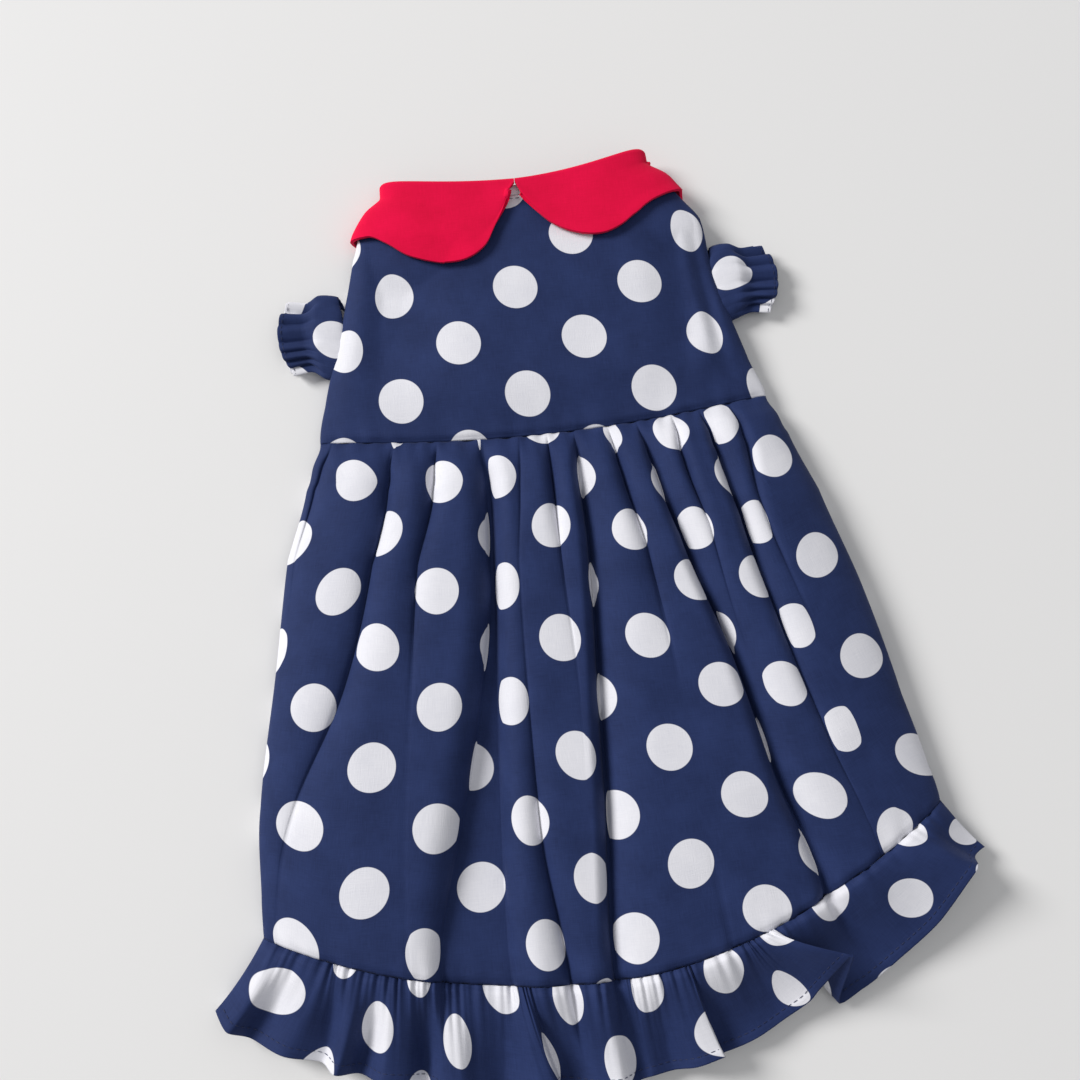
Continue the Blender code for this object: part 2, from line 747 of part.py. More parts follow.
def add_material(name, colour):
    material = bpy.data.materials.new(name)
    material.use_nodes = True
    shader = material.node_tree.nodes["Principled BSDF"]
    shader.inputs["Base Color"].default_value = (*colour, 1.0)
    shader.inputs["Roughness"].default_value = CLOTH_ROUGHNESS
    shader.inputs["Metallic"].default_value = 0.0
    return material


def main():
    clear_scene()
    cotton = add_material("navy_cotton", NAVY)
    felt = add_material("red_felt", CRIMSON)
    last_up = len(BODICE_ROWS) - 1
    bodice_rows = [bodice_loop(up) for up in reversed(BODICE_ROWS)]
    bodice = add_tube("bodice", bodice_rows, COTTON_WALL, (0, last_up), cotton)
    body_rows = [bodice_loop(up, SEAM_GAP) for up in reversed(BODICE_ROWS)]
    body = add_plug("bodice_form", body_rows)
    add_sleeve("sleeve_left", -1, SLEEVE_LEFT_SECTIONS, bodice, body, cotton)
    add_sleeve("sleeve_right", 1, SLEEVE_RIGHT_SECTIONS, bodice, body, cotton)
    binding_rows = [neck_loop(BINDING_WIDTH * share) for share in (1.0, 0.5, 0.0)]
    add_tube("neck_binding", binding_rows, BINDING_WALL, (0, 1, 2), cotton)
    add_sheet("collar_left", collar_lines(-1, COLLAR_LEFT_FLAP), felt)
    add_sheet("collar_right", collar_lines(1, COLLAR_RIGHT_FLAP), felt)
    skirt_rows = [skirt_loop(down) for down in SKIRT_ROWS]
    add_tube("skirt", skirt_rows, COTTON_WALL, (0, len(SKIRT_ROWS) - 1), cotton)
    ruffle_rows = [ruffle_loop(out) for out in RUFFLE_ROWS]
    add_tube("hem_ruffle", ruffle_rows, COTTON_WALL, (0,), cotton)


main()
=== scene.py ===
"""The looks of a polka dot dress for a cat, lying flat with its red collar towards +Y."""
import math

import bmesh
import bpy
import numpy as np
from mathutils import Matrix, Vector


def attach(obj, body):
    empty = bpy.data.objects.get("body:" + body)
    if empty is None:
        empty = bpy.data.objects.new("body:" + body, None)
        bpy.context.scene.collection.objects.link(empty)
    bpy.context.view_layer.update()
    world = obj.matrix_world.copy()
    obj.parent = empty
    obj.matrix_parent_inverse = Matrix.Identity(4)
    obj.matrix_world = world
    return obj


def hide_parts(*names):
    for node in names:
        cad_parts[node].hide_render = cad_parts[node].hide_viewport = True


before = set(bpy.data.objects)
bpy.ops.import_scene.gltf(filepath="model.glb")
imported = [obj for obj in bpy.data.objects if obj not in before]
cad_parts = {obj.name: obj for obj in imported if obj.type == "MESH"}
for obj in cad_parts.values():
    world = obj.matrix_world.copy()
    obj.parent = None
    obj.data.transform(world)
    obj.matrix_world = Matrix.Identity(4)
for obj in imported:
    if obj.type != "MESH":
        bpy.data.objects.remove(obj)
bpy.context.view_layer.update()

# Sizes of the dress, in metres, as in the frame
BODICE_LENGTH = 0.108
WAIST_WIDTH = 0.2015
NECK_WIDTH = 0.120
SKIRT_LENGTH = 0.232
SKIRT_HEM_WIDTH = 0.2854
RUFFLE_DEPTH = 0.040
WAIST_Y = 0.076
WAIST_HEIGHT = 0.0125
BODICE_PUFF = 0.0160
NECK_HEIGHT = 0.0135
SKIRT_PUFF = 0.0230
SKIRT_HEM_HEIGHT = 0.0195
RUFFLE_PUFF = 0.0240
SIDE_ROLL = 0.0065
HOLLOW = 0.0055
CROSS_ROUND = 5.5
NECK_LIFT_LEFT = 0.006
NECK_LIFT_RIGHT = 0.010
WAIST_SAG = 0.008
HEM_LIFT_LEFT = 0.032
HEM_LIFT_RIGHT = 0.055
BACK_HEM_LIFT = 0.018
BINDING_WIDTH = 0.005
COLLAR_WALL = 0.0022
COLLAR_EASE = 0.0008
COLLAR_DROP = 0.042
COLLAR_BACK_DROP = 0.024
COLLAR_OPENING = 0.0030
SLEEVE_REACH = 0.029
SLEEVE_WIDTH = 0.040
SLEEVE_HEIGHT = 0.0105
SLEEVE_SINK = 0.012

# The cloth and its print
CLOTH = 0.0006
BINDING_CLOTH = 0.0014
FELT = 0.0016
COLLAR_MEETING = 0.0025
DOT_RADIUS = 0.0100
DOT_ACROSS = 0.0282
DOT_DOWN = 0.0490
# Print columns on the lower layer, a guess, because the photo doesn't show it
BODICE_BACK_COLUMNS = 7.05
SKIRT_BACK_COLUMNS = 10.0
RUFFLE_BACK_COLUMNS = 9.3
BINDING_BACK_COLUMNS = 4.0
SEAM_PULL = 0.0016
SEAM_REACH = 0.0018
STITCH_LENGTH = 0.0021
STITCH_STEP = 0.0030
STITCH_RADIUS = 0.00016
HEM_TURN = 0.0037

# Mesh steps
PANEL_STEPS = 18
UNDER_STEPS = 44
ROLL_STEPS = 8

# Bodice sections: how far up, narrowing from waist to neck, shift to the right
BODICE_SECTIONS = (
    # up, narrowing, shift
    (0.00, 0.000, 0.006),
    (0.15, 0.102, 0.002),
    (0.35, 0.245, 0.003),
    (0.55, 0.377, 0.007),
    (0.75, 0.488, 0.016),
    (0.85, 0.627, 0.006),
    (0.93, 0.779, 0.005),
    (1.00, 1.000, 0.002),
)
BODICE_HEIGHTS = (0.0, 0.35, 0.70, 1.0)
BODICE_FOLDS = (
    # place at four heights, depth at four heights, run to the left, run to the right
    ((-0.74, -0.74, -0.76, -0.80), (0.00, 0.22, 0.24, 0.08), 0.18, 0.46),
    ((0.62, 0.76, 0.80, 0.80), (0.00, 0.14, 0.10, 0.02), 0.20, 0.12),
    ((0.86, 0.90, 0.92, 0.92), (0.00, 0.12, 0.06, 0.00), 0.07, 0.06),
)

# Skirt sections: how far down, flare from waist to hem, shift to the right, height
SKIRT_SECTIONS = (
    # down, flare, shift, height
    (0.00, 0.000, 0.0043, 0.00),
    (0.05, 0.095, 0.0040, 0.52),
    (0.10, 0.177, 0.0032, 0.78),
    (0.25, 0.416, 0.0019, 1.00),
    (0.50, 0.667, 0.0070, 1.00),
    (0.75, 0.878, 0.0049, 0.94),
    (0.92, 0.970, 0.0120, 0.88),
    (1.00, 1.000, 0.0158, 0.66),
)
SKIRT_HEIGHTS = (0.0, 0.10, 0.25, 0.50, 0.75, 1.0)
# Each skirt fold: its place, its depth, whether it opens to a channel, its run to each side, and
# the print's column on its left lip and on its right lip. The lip columns, the edge columns and
# SKIRT_PRINT were fitted by least squares, outside this script, to 37 dots placed by eye.
SKIRT_FOLDS = (
    ((-0.950, -0.962, -0.967, -0.967, -0.967, -0.967), (0.20, 0.26, 0.06, 0.00, 0.00, 0.00),
     0, 0.03, 0.06,
     (-0.40, -0.82, -0.93, -0.67, -0.54, -0.39),
     (-0.30, -0.72, -0.82, -0.54, -0.48, -0.35)),
    ((-0.674, -0.664, -0.683, -0.769, -0.900, -0.960), (0.16, 0.34, 0.32, 0.30, 0.16, 0.02),
     0, 0.16, 0.12,
     (0.72, 0.47, 0.41, 0.39, -0.15, -0.32),
     (1.14, 1.00, 0.97, 0.47, -0.15, -0.32)),
    ((-0.484, -0.483, -0.519, -0.546, -0.560, -0.580), (0.16, 0.34, 0.22, 0.04, 0.02, 0.02),
     0, 0.09, 0.09,
     (1.84, 1.72, 1.68, 1.51, 1.51, 1.67),
     (1.99, 1.85, 1.69, 1.55, 1.54, 1.86)),
    ((-0.290, -0.265, -0.254, -0.319, -0.402, -0.500), (0.20, 0.50, 0.56, 0.56, 0.50, 0.34),
     1, 0.10, 0.09,
     (2.71, 2.71, 2.83, 2.62, 2.32, 2.28),
     (3.90, 3.89, 3.91, 3.84, 3.52, 3.44)),
    ((-0.120, -0.130, -0.150, -0.168, -0.160, -0.140), (0.06, 0.10, 0.04, 0.08, 0.26, 0.34),
     0, 0.08, 0.08,
     (4.49, 4.38, 4.32, 4.33, 4.14, 4.29),
     (4.60, 4.50, 4.46, 4.39, 4.22, 4.42)),
    ((0.002, 0.003, 0.004, 0.000, -0.020, -0.040), (0.14, 0.30, 0.10, 0.02, 0.00, 0.00),
     0, 0.06, 0.06,
     (5.05, 5.03, 5.13, 5.17, 4.92, 4.94),
     (5.11, 5.09, 5.20, 5.26, 5.06, 5.07)),
    ((0.122, 0.111, 0.107, 0.061, 0.035, -0.015), (0.18, 0.42, 0.50, 0.52, 0.50, 0.40),
     0, 0.045, 0.17,
     (5.55, 5.52, 5.65, 5.54, 5.34, 5.20),
     (6.14, 6.11, 6.30, 6.13, 5.86, 5.65)),
    ((0.276, 0.286, 0.315, 0.320, 0.320, 0.320), (0.16, 0.34, 0.20, 0.02, 0.00, 0.06),
     0, 0.07, 0.08,
     (6.71, 6.80, 7.19, 7.35, 7.31, 7.40),
     (7.21, 7.20, 7.35, 7.37, 7.32, 7.40)),
    ((0.403, 0.417, 0.449, 0.516, 0.562, 0.610), (0.18, 0.40, 0.46, 0.50, 0.52, 0.40),
     0, 0.05, 0.15,
     (7.68, 7.73, 7.93, 8.29, 8.55, 8.88),
     (8.46, 8.56, 8.77, 9.26, 9.52, 9.69)),
    ((0.562, 0.540, 0.553, 0.560, 0.660, 0.760), (0.14, 0.28, 0.10, 0.02, 0.00, 0.00),
     0, 0.05, 0.05,
     (9.04, 9.05, 9.22, 9.47, 10.02, 10.42),
     (9.20, 9.22, 9.36, 9.58, 10.02, 10.42)),
    ((0.686, 0.683, 0.679, 0.690, 0.737, 0.780), (0.16, 0.38, 0.42, 0.26, 0.10, 0.02),
     0, 0.05, 0.10,
     (9.65, 9.79, 9.91, 10.19, 10.40, 10.48),
     (10.77, 10.85, 10.80, 10.83, 10.75, 10.66)),
    ((0.824, 0.806, 0.760, 0.780, 0.820, 0.860), (0.14, 0.30, 0.14, 0.02, 0.00, 0.00),
     0, 0.05, 0.05,
     (11.27, 11.34, 11.16, 11.25, 11.17, 11.08),
     (11.66, 11.75, 11.50, 11.55, 11.43, 11.21)),
)
CHANNEL_FLOOR = (0.008, 0.010, 0.010, 0.048, 0.125, 0.200)
SKIRT_EDGE_LEFT = (-0.62, -1.01, -1.11, -0.91, -0.71, -0.56)
SKIRT_EDGE_RIGHT = (12.30, 12.51, 12.57, 12.58, 12.40, 11.98)
# Where the skirt's first row of dots lies below the waist, and the pitch down from there
SKIRT_PRINT = (
    # across, first, pitch
    (-1.00, 0.0217, 0.0463),
    (-0.75, 0.0212, 0.0495),
    (-0.45, 0.0267, 0.0488),
    (0.00, 0.0278, 0.0491),
    (0.45, 0.0372, 0.0454),
    (0.72, 0.0369, 0.0468),
    (1.00, 0.0278, 0.0458),
)

# Ruffle waves: seam place, hem to the right, hem down, hem height
RUFFLE_WAVES = (
    (-1.000, -0.53, 0.65, 0.27),
    (-0.950, -0.57, 0.78, 0.46),
    (-0.896, -0.59, 0.78, 0.18),
    (-0.816, -0.52, 0.86, 0.42),
    (-0.781, -0.28, 0.93, 0.22),
    (-0.725, -0.33, 0.97, 0.52),
    (-0.676, -0.30, 0.95, 0.18),
    (-0.634, -0.18, 1.00, 0.56),
    (-0.592, -0.10, 1.00, 0.46),
    (-0.547, -0.10, 1.00, 0.17),
    (-0.508, -0.08, 1.01, 0.52),
    (-0.466, -0.03, 1.03, 0.60),
    (-0.410, -0.05, 1.03, 0.40),
    (-0.333, -0.09, 1.02, 0.24),
    (-0.291, 0.18, 1.02, 0.64),
    (-0.267, 0.24, 1.00, 0.58),
    (-0.246, 0.20, 1.00, 0.20),
    (-0.172, 0.12, 1.01, 0.26),
    (-0.102, 0.05, 1.02, 0.46),
    (-0.039, 0.03, 1.02, 0.56),
    (0.004, 0.10, 0.98, 0.24),
    (0.039, 0.08, 0.96, 0.32),
    (0.088, 0.11, 0.95, 0.24),
    (0.137, 0.17, 0.94, 0.54),
    (0.186, 0.26, 0.90, 0.62),
    (0.200, 0.26, 0.90, 0.22),
    (0.277, 0.30, 0.86, 0.34),
    (0.347, 0.35, 0.79, 0.30),
    (0.368, 0.55, 0.66, 0.42),
    (0.389, 0.60, 0.55, 0.58),
    (0.431, 0.76, 0.30, 1.00),
    (0.473, 0.50, 0.84, 0.24),
    (0.557, 0.48, 0.86, 0.20),
    (0.648, 0.52, 0.78, 0.32),
    (0.753, 0.65, 0.60, 0.52),
    (0.865, 0.62, 0.42, 0.76),
    (0.935, 0.46, 0.44, 0.40),
    (1.000, 0.37, 0.52, 0.27),
)
# The ruffle's print: the wave it is counted from, the print's column, and how far out the even
# columns' dots lie (share of the ruffle's depth)
RUFFLE_PRINT = (
    # wave, column, out
    (0.0, -0.50, 0.45),
    (2.0, 0.00, 0.45),
    (6.4, 2.00, 0.50),
    (11.0, 4.00, 0.52),
    (13.0, 5.00, 0.62),
    (15.0, 5.70, 0.68),
    (16.4, 6.45, 0.72),
    (17.2, 7.00, 0.74),
    (19.0, 8.00, 0.75),
    (21.5, 9.00, 0.72),
    (24.2, 10.00, 0.75),
    (26.0, 11.00, 0.80),
    (28.0, 12.00, 0.74),
    (30.0, 13.00, 0.70),
    (31.0, 14.00, 0.66),
    (32.6, 15.00, 0.62),
    (33.5, 15.55, 0.60),
    (34.4, 16.40, 0.60),
    (36.0, 17.60, 0.62),
    (37.0, 18.20, 0.62),
)

# Collar flaps: neck, edge, drop
COLLAR_LEFT_FLAP = (
    (0.010, 0.060, 0.18),
    (0.060, 0.115, 0.42),
    (0.140, 0.175, 0.64),
    (0.250, 0.250, 0.84),
    (0.380, 0.345, 0.97),
    (0.500, 0.450, 1.00),
    (0.620, 0.570, 0.97),
    (0.740, 0.690, 0.90),
    (0.840, 0.810, 0.76),
    (0.930, 0.920, 0.67),
    (1.000, 1.000, 0.68),
)
COLLAR_RIGHT_FLAP = (
    (0.010, 0.040, 0.22),
    (0.050, 0.100, 0.43),
    (0.130, 0.180, 0.63),
    (0.230, 0.260, 0.76),
    (0.340, 0.350, 0.84),
    (0.460, 0.440, 0.87),
    (0.580, 0.550, 0.83),
    (0.700, 0.660, 0.75),
    (0.820, 0.800, 0.65),
    (0.920, 0.920, 0.60),
    (1.000, 1.000, 0.58),
)

# Sleeves: reach, middle, width, height
SLEEVE_LEFT_SECTIONS = (
    (0.00, 0.455, 0.92, 0.86),
    (0.30, 0.462, 1.04, 0.96),
    (0.55, 0.475, 1.02, 1.00),
    (0.74, 0.485, 0.84, 0.80),
    (1.00, 0.485, 0.90, 0.86),
)
SLEEVE_RIGHT_SECTIONS = (
    (0.00, 0.500, 0.92, 0.86),
    (0.30, 0.520, 0.98, 0.96),
    (0.55, 0.535, 0.92, 1.00),
    (0.74, 0.535, 0.80, 0.80),
    (1.00, 0.530, 0.84, 0.86),
)
SLEEVE_HEM_BOW = 0.20
SLEEVE_PLEATS = 16
SLEEVE_GATHER = 0.0023
SLEEVE_ELASTIC = 0.74
SLEEVE_COLUMNS = 260
SLEEVE_ROWS = 56
SLEEVE_STITCH = 0.93

# Colours in linear light
NAVY = (0.0095, 0.0200, 0.0780, 1.0)
NAVY_WORN = (0.0180, 0.0340, 0.1200, 1.0)
DOT_WHITE = (0.790, 0.785, 0.830, 1.0)
DOT_SHADE = (0.700, 0.700, 0.755, 1.0)
CRIMSON = (0.800, 0.0030, 0.0580, 1.0)
CRIMSON_DEEP = (0.640, 0.0020, 0.0400, 1.0)
THREAD_NAVY = (0.012, 0.018, 0.060, 1.0)

# The camera, as the photo was taken, and the light
CAMERA_PLACE = (-0.0209, -0.1016, 0.5420)
CAMERA_RIGHT = (0.9936, -0.1132, 0.0)
CAMERA_UP = (0.1103, 0.9681, 0.2250)
CAMERA_LENS = 41.67
FLOOR_COLOUR = (0.800, 0.795, 0.790, 1.0)


def column(table, index):
    return np.array([row[index] for row in table], dtype=float)


def eased(position, stations, values):
    """Values at positions, eased between the stations without overshooting."""
    position = np.asarray(position, dtype=float)
    stations = np.asarray(stations, dtype=float)
    values = np.asarray(values, dtype=float)
    last = len(stations) - 1
    index = np.clip(np.searchsorted(stations, position, side="right") - 1, 0, last - 1)
    start, end = values[index], values[index + 1]
    before = values[np.maximum(index - 1, 0)]
    after = values[np.minimum(index + 2, last)]
    share = np.clip((position - stations[index]) / (stations[index + 1] - stations[index]), 0, 1)
    slope_start = np.where((end - start) * (start - before) <= 0, 0.0, 0.5 * (end - before))
    slope_end = np.where((end - start) * (after - end) <= 0, 0.0, 0.5 * (after - start))
    square, cube = share * share, share ** 3
    return ((2 * cube - 3 * square + 1) * start + (cube - 2 * square + share) * slope_start
            + (3 * square - 2 * cube) * end + (cube - square) * slope_end)


def mixed(start, end, share):
    return start + (end - start) * share


def smooth(share):
    share = np.clip(share, 0.0, 1.0)
    return share * share * (3 - 2 * share)


def pinched(distance):
    near = np.clip(distance, 0.0, 1.0)
    return 1.0 - np.sqrt(near * (2.0 - near))


def side_round(across, power=CROSS_ROUND):
    return np.sqrt(np.clip(1.0 - np.abs(across) ** power, 0.0, 1.0))


def ripples(across, down, waves, seed):
    """Soft uneven creases: a fixed sum of slanted waves, between about -1 and 1."""
    total = np.zeros_like(across * down)
    for index in range(waves):
        turn = seed * 1.37 + index * 2.399
        pitch = 9.0 + 5.3 * index + 3.0 * math.sin(turn)
        lean = 2.2 * math.sin(1.7 * turn)
        strength = 0.6 + 0.4 * np.sin(5.0 * down + 2.1 * turn)
        total = total + strength * np.sin(pitch * across + lean * down + turn) / (1 + 0.5 * index)
    return total / 2.2


# The bodice's form

def bodice_half(up):
    narrowing = eased(up, column(BODICE_SECTIONS, 0), column(BODICE_SECTIONS, 1))
    return mixed(WAIST_WIDTH, NECK_WIDTH, narrowing) / 2


def bodice_shift(up):
    return WAIST_WIDTH * eased(up, column(BODICE_SECTIONS, 0), column(BODICE_SECTIONS, 2))


def bodice_lift(across):
    return np.where(np.asarray(across) < 0, NECK_LIFT_LEFT, NECK_LIFT_RIGHT) * across * across


def bodice_y(across, up):
    waist = -WAIST_SAG * (1.0 - across * across)
    return WAIST_Y + mixed(waist, BODICE_LENGTH + bodice_lift(across), up)


def under_level(up):
    start = 1.0 - 1.9 * COLLAR_BACK_DROP / BODICE_LENGTH
    end = 1.0 - 1.2 * COLLAR_BACK_DROP / BODICE_LENGTH
    return (COLLAR_WALL + COLLAR_EASE) * eased(up, (start, end), (0.0, 1.0))


def bodice_height(up):
    return eased(up, (0.0, 0.25, 0.70, 1.0), (WAIST_HEIGHT, BODICE_PUFF, BODICE_PUFF, NECK_HEIGHT))


def bodice_top(across, up):
    """x, y and z of the bodice's upper layer."""
    level = under_level(up)
    rise = bodice_height(up) - SIDE_ROLL - level
    depth = np.zeros_like(across * up)
    for place, depths, left, right in BODICE_FOLDS:
        line = eased(up, BODICE_HEIGHTS, place)
        run = np.where(across < line, left, right)
        depth = depth + eased(up, BODICE_HEIGHTS, depths) * soft_dip(np.abs(across - line) / run)
    rounded = side_round(across)
    z = level + SIDE_ROLL + rise * rounded
    lowest = level + SIDE_ROLL + np.minimum(rise, HOLLOW) * rounded
    z = np.maximum(z - BODICE_PUFF * depth, lowest)
    x = bodice_shift(up) + bodice_half(up) * across
    return x, bodice_y(across, up), z


def soft_dip(distance):
    """A soft valley, 1 on its line and 0 past its run."""
    return (1.0 - smooth(distance)) * np.where(distance < 1, 1.0, 0.0)


# The skirt's form

def skirt_half(down):
    flare = eased(down, column(SKIRT_SECTIONS, 0), column(SKIRT_SECTIONS, 1))
    return mixed(WAIST_WIDTH, SKIRT_HEM_WIDTH, flare) / 2


def skirt_shift(down):
    shift = eased(down, column(SKIRT_SECTIONS, 0), column(SKIRT_SECTIONS, 2))
    return mixed(bodice_shift(0.0), SKIRT_HEM_WIDTH * shift, np.minimum(down * 4, 1.0))


def hem_lift(across):
    left = HEM_LIFT_LEFT * np.abs(across) ** 2.2
    right = HEM_LIFT_RIGHT * np.abs(across) ** 1.8
    return np.where(np.asarray(across) < 0, left, right)


def skirt_y(across, down):
    waist = -WAIST_SAG * (1.0 - across * across)
    return WAIST_Y + mixed(waist, -WAIST_SAG - SKIRT_LENGTH + hem_lift(across), down)


def skirt_back_y(across, down):
    side = WAIST_Y - WAIST_SAG - SKIRT_LENGTH
    side = side + mixed(hem_lift(-1.0), hem_lift(1.0), (across + 1) / 2)
    return mixed(WAIST_Y, side - BACK_HEM_LIFT * (1.0 - across * across), down)


def skirt_depth(across, down):
    depth = np.zeros_like(across * down)
    for place, depths, channel, left, right, _lip_left, _lip_right in SKIRT_FOLDS:
        line = eased(down, SKIRT_HEIGHTS, place)
        floor = channel * eased(down, SKIRT_HEIGHTS, CHANNEL_FLOOR)
        away = np.where(across < line, (line - across) / left, (across - line - floor) / right)
        depth = depth + eased(down, SKIRT_HEIGHTS, depths) * pinched(away)
    return depth


def skirt_top(across, down):
    """x, y and z of the skirt's upper layer."""
    puff = eased(down, column(SKIRT_SECTIONS, 0), column(SKIRT_SECTIONS, 3))
    height = mixed(WAIST_HEIGHT, SKIRT_PUFF, puff)
    height = mixed(height, SKIRT_HEM_HEIGHT, np.clip((down - 0.75) / 0.25, 0, 1))
    rounded = side_round(across)
    settle = np.minimum(down / 0.04, 1.0)
    top = SIDE_ROLL + (height - SIDE_ROLL) * rounded
    lowest = SIDE_ROLL + min(HOLLOW, WAIST_HEIGHT - SIDE_ROLL) * rounded
    z = np.maximum(top - SKIRT_PUFF * skirt_depth(across, down) * settle * rounded, lowest)
    z = z + 0.0006 * ripples(across, down, 5, 3) * settle * rounded
    x = skirt_shift(down) + skirt_half(down) * across
    return x, skirt_y(across, down), z


def ruffle_top(wave, out):
    """x, y and z of the ruffle's upper layer."""
    stations = np.arange(len(RUFFLE_WAVES))
    across = eased(wave, stations, column(RUFFLE_WAVES, 0))
    right = eased(wave, stations, column(RUFFLE_WAVES, 1))
    down = eased(wave, stations, column(RUFFLE_WAVES, 2))
    hem_z = RUFFLE_PUFF * eased(wave, stations, column(RUFFLE_WAVES, 3))
    x, y, z = skirt_top(across, 1.0)
    reach = RUFFLE_DEPTH * out
    bulge = 0.10 * RUFFLE_PUFF * np.sin(math.pi * out) * (1 - out)
    x = x + right * reach * mixed(0.7, 1.0, out)
    z = mixed(z, hem_z, eased(out, (0.0, 0.55, 1.0), (0.0, 0.75, 1.0))) + bulge
    return x, y - down * reach, z


# Sheets of cloth made from these forms

def panel_places(lines):
    """Columns across every row, close together near the fold lines."""
    step = np.arange(PANEL_STEPS) / PANEL_STEPS
    step = 0.5 * step + 0.25 * (1 - np.cos(math.pi * step))
    stops = [np.full_like(lines[0], -1.0)] + list(lines) + [np.full_like(lines[0], 1.0)]
    places = []
    for start, end in zip(stops, stops[1:]):
        places += [mixed(start, end, share) for share in step]
    places.append(stops[-1])
    return np.stack(places, axis=1)


def under_side(left, right, level, roll, y_at):
    """Rows of the lower layer, from the right side roll over the flat to the left side roll."""
    width = right - left
    middle = (left + right) / 2
    angle = 0.5 * math.pi * np.arange(1, ROLL_STEPS + 1) / ROLL_STEPS
    offsets, heights = [], []
    for turn in angle:
        offsets.append(width / 2 - roll * (1 - math.cos(turn)))
        heights.append(roll * (1 - math.sin(turn)) + 0 * width)
    flat_half = width / 2 - roll
    for step in range(1, UNDER_STEPS):
        offsets.append(flat_half * (1 - 2 * step / UNDER_STEPS))
        heights.append(np.zeros_like(width))
    for turn in reversed(angle):
        offsets.append(-width / 2 + roll * (1 - math.cos(turn)))
        heights.append(roll * (1 - math.sin(turn)) + 0 * width)
    offsets.append(-width / 2)
    heights.append(roll * np.ones_like(width))
    offsets = np.stack(offsets, axis=1)
    heights = np.stack(heights, axis=1)
    across = 2 * offsets / width[:, None]
    return middle[:, None] + offsets, y_at(across), level[:, None] + heights


def only(piece):
    """Selects this piece alone and makes it the active one."""
    bpy.ops.object.select_all(action="DESELECT")
    piece.select_set(True)
    bpy.context.view_layer.objects.active = piece


def cloth_mesh(name, x, y, z, print_u, print_v):
    """A sheet of cloth from rows of points, with the print's coordinates on it."""
    rows, columns = x.shape
    bpy.ops.object.select_all(action="DESELECT")
    bpy.ops.mesh.primitive_grid_add(x_subdivisions=columns - 1, y_subdivisions=rows - 1, size=1)
    piece = bpy.context.object
    piece.name = name
    mesh = piece.data
    mesh.name = name
    mesh.vertices.foreach_set("co", np.stack([x, y, z], axis=-1).astype(np.float32).ravel())
    layer = mesh.uv_layers[0]
    layer.name = "print"
    corners = np.empty(len(mesh.loops), dtype=np.int32)
    mesh.loops.foreach_get("vertex_index", corners)
    flat = np.stack([print_u.ravel(), print_v.ravel()], axis=-1)[corners]
    layer.data.foreach_set("uv", flat.astype(np.float32).ravel())
    mesh.update()
    return piece


def closed(piece, gap=0.00002):
    """Sews together the two edges of a sheet that meet."""
    only(piece)
    bpy.ops.object.mode_set(mode="EDIT")
    bpy.ops.mesh.select_all(action="SELECT")
    bpy.ops.mesh.remove_doubles(threshold=gap)
    bpy.ops.object.mode_set(mode="OBJECT")


def sewn_tube(name, upper, under, print_u, print_v, back_columns):
    """The upper and the lower layer as one tube, with the print carried on round the back."""
    share = np.linspace(0, 1, under[0].shape[1] + 1)[None, 1:]
    back_u = mixed(print_u[:, -1:], print_u[:, -1:] + back_columns, share)
    back_v = mixed(print_v[:, -1:], print_v[:, :1], share)
    x, y, z = [np.hstack(layers) for layers in zip(upper, under)]
    piece = cloth_mesh(name, x, y, z, np.hstack([print_u, back_u]), np.hstack([print_v, back_v]))
    closed(piece)
    return piece


def thickened(piece, wall):
    solidify = piece.modifiers.new("Cloth wall", "SOLIDIFY")
    solidify.thickness = wall
    solidify.offset = -1.0
    only(piece)
    bpy.ops.object.modifier_apply(modifier=solidify.name)
    bpy.ops.object.shade_smooth()


def seam_dip(distance):
    """How far cloth is drawn in at this distance from a seam."""
    return SEAM_PULL * np.exp(-((distance / SEAM_REACH) ** 2))


def bodice_print(x, y, across, up):
    middle = x + 0.0050
    left = 0.22 * smooth((-across - 0.72) / 0.26) * smooth(up / 0.3)
    right = 0.20 * smooth((across - 0.78) / 0.22)
    u = middle / DOT_ACROSS - left + right
    v = (0.0612 - 0.060 * middle - (y - WAIST_Y)) / 0.0507
    return u, v


def make_bodice():
    up = smooth_ends(np.linspace(0.0, 1.0, 96), 0.02)
    lines = [eased(up, BODICE_HEIGHTS, fold[0]) for fold in BODICE_FOLDS]
    lines = [lines[0], 0 * up - 0.45, 0 * up - 0.15, 0 * up + 0.15, 0 * up + 0.40] + lines[1:]
    across = panel_places(lines)
    grid_up = np.broadcast_to(up[:, None], across.shape)
    x, y, z = bodice_top(across, grid_up)
    z = z + 0.00035 * ripples(across, grid_up * 2, 5, 7) * side_round(across)
    seam = seam_dip((y - bodice_y(across, 0.0)))
    z = z - seam * side_round(across)
    pucker = 0.00035 * np.sin(x / 0.0021 + 2.0 * np.sin(x / 0.013))
    z = z + pucker * np.exp(-((y - bodice_y(across, 0.0)) / 0.006))
    u, v = bodice_print(x, y, across, grid_up)

    def y_at(side):
        return WAIST_Y + mixed(0.0 * side, BODICE_LENGTH + bodice_lift(side), up[:, None])

    under = under_side(x[:, 0], x[:, -1], under_level(up), SIDE_ROLL, y_at)
    piece = sewn_tube("bodice_cloth", (x, y, z), under, u, v, BODICE_BACK_COLUMNS)
    cut_armhole(piece, -1, SLEEVE_LEFT_SECTIONS)
    cut_armhole(piece, 1, SLEEVE_RIGHT_SECTIONS)
    thickened(piece, CLOTH)
    return piece


